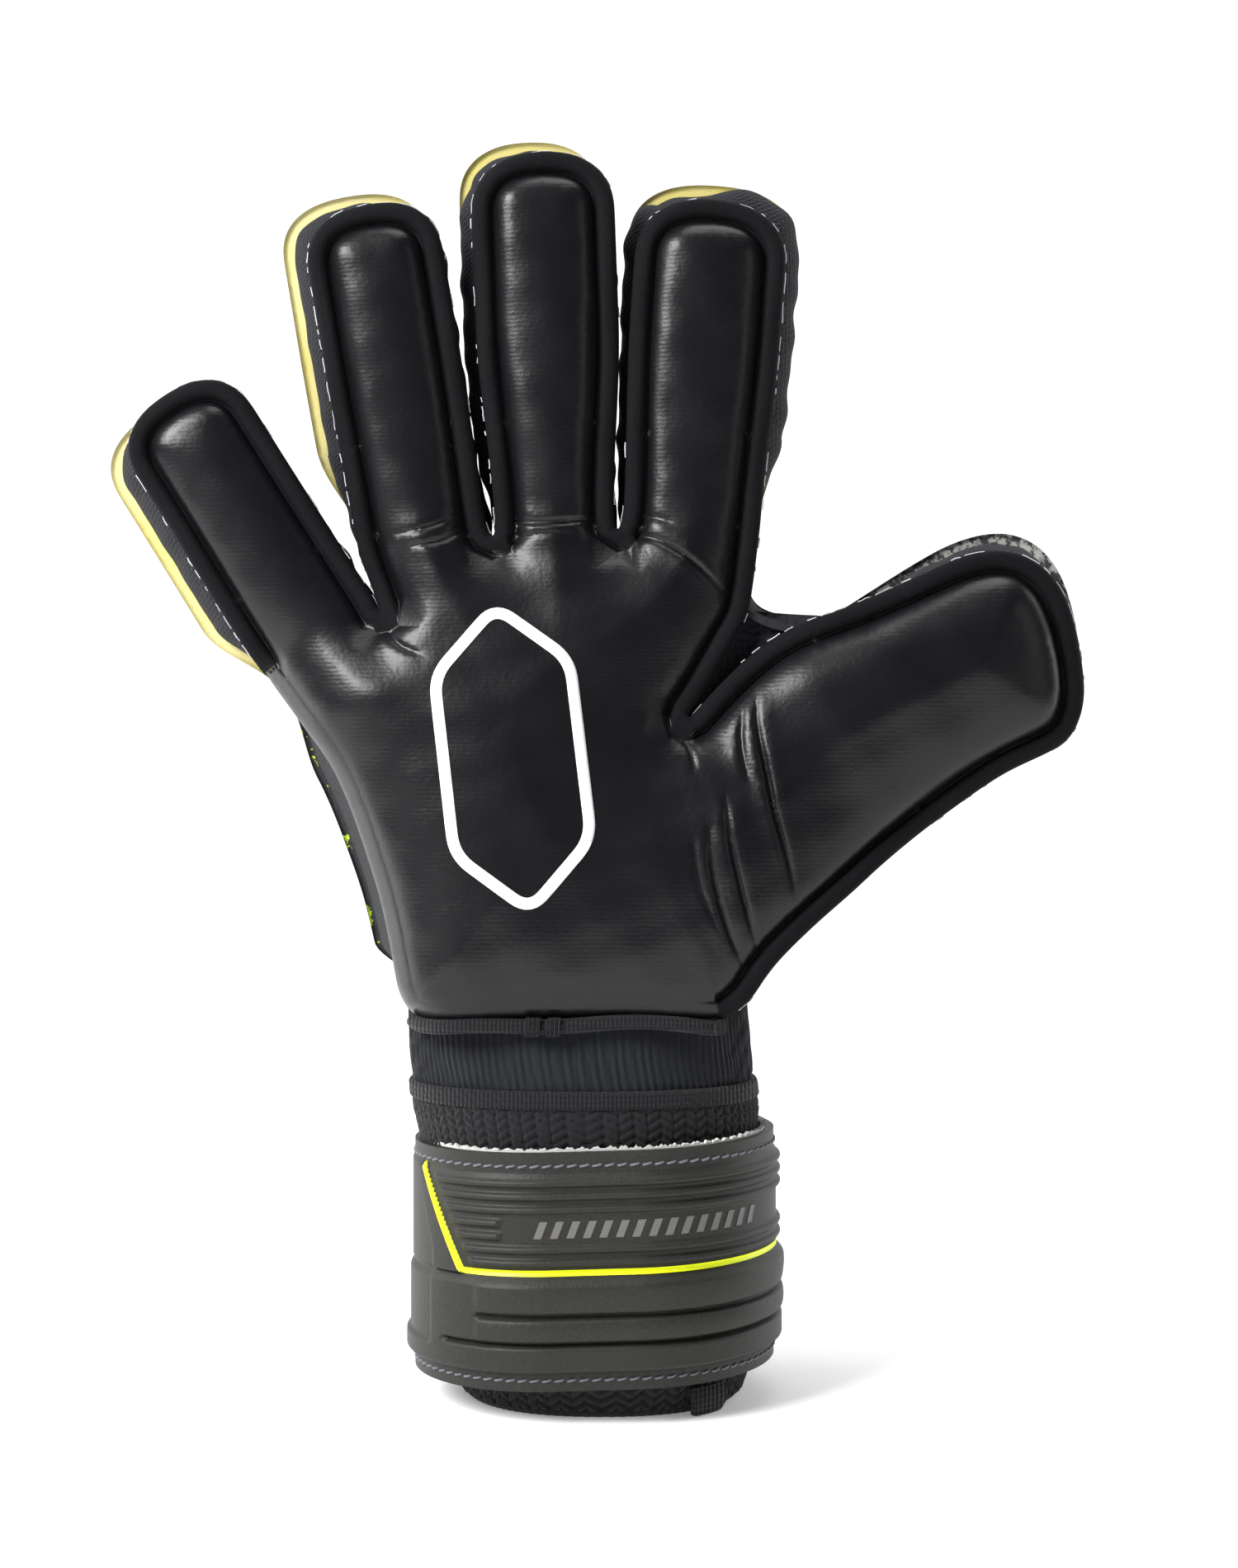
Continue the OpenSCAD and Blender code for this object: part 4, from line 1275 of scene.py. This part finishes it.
def make_strap():
    """The moulded band, its free flap, the stitches and marks on them, the felt and the closure."""

    def flap(ob, slot_name, *nodes):
        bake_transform(ob)
        if nodes:
            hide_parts(*nodes)

    step = 0.62
    ob = strap_piece("strap_band_moulded", S_LEFT, S_HINGE, step)
    on_glove(ob, "strap_rubber", "strap_band")
    flap(strap_piece("strap_flap_moulded", S_HINGE, S_END, step), "strap_rubber", "strap_flap")

    for name, s0, s1 in (("strap_band_stitches", S_LEFT, S_HINGE), ("strap_flap_stitches", S_HINGE, S_END)):
        ob = build(name, *joined(dashes(57.4, s0, s1) + dashes(10.6, s0, s1)), [THREAD])
        (flap if "flap" in name else on_glove)(ob, "strap_rubber")

    def line(name, path, width):
        """A flat raised line through points in s and z."""
        p = catmull(path, 1.0)
        t = np.gradient(p, axis=0)
        t /= np.linalg.norm(t, axis=1, keepdims=True)
        n = np.stack([-t[:, 1], t[:, 0]], axis=1)
        w = np.interp(np.linspace(0, 1, len(p)), np.linspace(0, 1, len(width)), width)[:, None]
        rows = [p + n * w * o for o in (0.5, 0.17, -0.17, -0.5)]
        outer = np.array([strap_surface(r[:, 0], r[:, 1], 0.22) for r in rows])
        inner = np.array([strap_surface(r[:, 0], r[:, 1], -0.6) for r in rows])
        return shell(name, outer[::-1], inner[::-1], LIME, sharp=60)

    on_glove(line("strap_lime_slant", [(-44.1, 56.6), (-37.2, 45.6), (-30.4, 34.5)], [0.4, 0.8, 1.1]),
             "lime_print")
    path = [(s, LINE_Z) for s in (-30.6, 0, 40, S_HINGE - 3)]
    on_glove(line("strap_lime_line", path, [1.35, 1.35]), "lime_print", "strap_accent")

    # the felt backing, whose pale raw edge shows above the strap
    s = np.linspace(S_LEFT, S_HINGE, 300)
    zs = np.linspace(Z0 + 0.6, Z1 + 0.55, 12)
    fray = 0.25 * np.sin(s * 2.1) + 0.2 * np.sin(s * 5.3 + 1) + rng.uniform(-0.15, 0.15, len(s))
    z = np.tile(zs[:, None], len(s))
    z[-1] += fray
    ob = strap_slab("strap_felt", s, z, strap_radius(s) - 2.0, strap_radius(s) - 2.9, FELT)
    on_glove(ob, "strap_felt", "strap_felt_lining")

    # a plain row of slanted bars in the smooth field of the strap
    verts, faces = [], []
    for k in range(15):
        s0 = -13.0 + 3.6 * k
        s = s0 + np.array([0, 1.7, 3.1, 1.4])
        z = np.array([41.7, 41.7, 45.4, 45.4])
        n = len(verts)
        verts += [*strap_surface(s, z, 0.14), *strap_surface(s, z, -0.4)]
        faces += [[n, n + 1, n + 2, n + 3], [n + 7, n + 6, n + 5, n + 4]]
        faces += [[n + (i + 1) % 4, n + i, n + 4 + i, n + 4 + (i + 1) % 4] for i in range(4)]
    ob = build("strap_hatch_bars", np.array(verts), faces, [HATCH], sharp=30)
    on_glove(ob, "strap_rubber")

    # closure: loop patch on the cuff, hooks under the flap, and the tab to pull it by
    def patch(name, s0, s1, z0, z1, r0, r1, mat, wavy):
        s = np.linspace(s0, s1, 90)[None, :]
        z = np.linspace(z0, z1, 40)[:, None]
        s, z = np.broadcast_arrays(s, z)
        rough = wavy * np.sin(s * 4.7) * np.sin(z * 4.3)
        return strap_slab(name, s, z, r1 + rough, r0, mat)

    ob = patch("loop_pile_patch", S_HINGE + 2, S_END + 8, Z0 + 3, Z1 - 3, 28.6, 30.6, YARN, 0.15)
    on_glove(ob, "loop_fabric", "loop_patch")
    ob = patch("hook_patch_sheet", S_HINGE + 12, S_END - 1, Z0 + 5, Z1 - 5, 31.5, 33.3, TAPE, 0.0)
    flap(ob, "hook_tape", "hook_patch")
    s = np.linspace(S_END - 1.5, S_END + 6.5, 18)[None, :]
    v = np.linspace(-1, 1, 24)[:, None]
    s, v = np.broadcast_arrays(s, v)
    half = 15.0 - 3.2 * smooth((s - S_END) / 6.5) ** 2
    z = 34.2 + v * half
    ob = strap_slab("flap_pull_tab", s, z, 34.9 - 0.5 * np.abs(v) ** 6, 33.3, LIME)
    flap(ob, "lime_print", "flap_tab")


# ---------------------------------------------------------------- stage
def area_light(name, place, target, size, power):
    data = bpy.data.lights.new(name, "AREA")
    data.shape = "RECTANGLE"
    data.size, data.size_y = size
    data.energy = power
    ob = bpy.data.objects.new(name, data)
    ob.location = place
    ob.rotation_mode = "QUATERNION"
    ob.rotation_quaternion = (Vector(target) - Vector(place)).to_track_quat("-Z", "Y")
    bpy.context.scene.collection.objects.link(ob)


def glowing_sheet(name, corners, colour, rough, strength):
    """A four-cornered sheet, corners in millimetres, that gives off some white light."""
    mat, _, sh = new_material(f"{name}_white", colour, rough)
    sh.inputs["Emission Color"].default_value = (1, 1, 1, 1)
    sh.inputs["Emission Strength"].default_value = strength
    return build(name, corners, [[0, 1, 2, 3]], [mat])


def make_stage():
    scene = bpy.context.scene
    cam = bpy.data.cameras.new("camera")
    cam.lens = 51.2
    cam.sensor_width = 36
    cam.clip_start = 0.01
    ob = bpy.data.objects.new("camera", cam)
    ob.location = (0.004, -0.520, 0.1406)
    ob.rotation_euler = (math.radians(90), 0, 0)
    scene.collection.objects.link(ob)
    scene.camera = ob

    far = 3000
    floor = glowing_sheet("floor", [(-far, -far, -0.05), (far, -far, -0.05), (far, far, -0.05),
                                    (-far, far, -0.05)], (0.93, 0.93, 0.93), 0.9, 0.2)
    wall = glowing_sheet("backdrop", [(-far, 900, -10), (far, 900, -10), (far, 900, far),
                                      (-far, 900, far)], (0.05, 0.05, 0.05), 1.0, 1.1)

    area_light("key", (-0.60, -0.50, 0.68), (0, 0, 0.15), (0.42, 0.42), 15)
    area_light("fill", (0.75, -0.55, 0.45), (0, 0, 0.12), (0.3, 0.5), 0.5)
    area_light("top", (0.1, -0.05, 1.0), (0.02, 0, 0.2), (0.7, 0.4), 3.6)
    area_light("left_rim", (-0.7, 0.25, 0.25), (0, 0, 0.15), (0.3, 0.9), 3.0)
    area_light("right_rim", (0.7, 0.25, 0.25), (0, 0, 0.15), (0.3, 0.9), 2.5)
    world = bpy.data.worlds.new("world")
    world.use_nodes = True
    world.node_tree.nodes["Background"].inputs[0].default_value = (1, 1, 1, 1)
    world.node_tree.nodes["Background"].inputs[1].default_value = 0.035
    scene.world = world
    scene.view_settings.view_transform = "Standard"


make_front()
make_back()
make_gussets()
make_web()
make_print()
make_hem()
make_cuff()
make_strap()
make_stage()
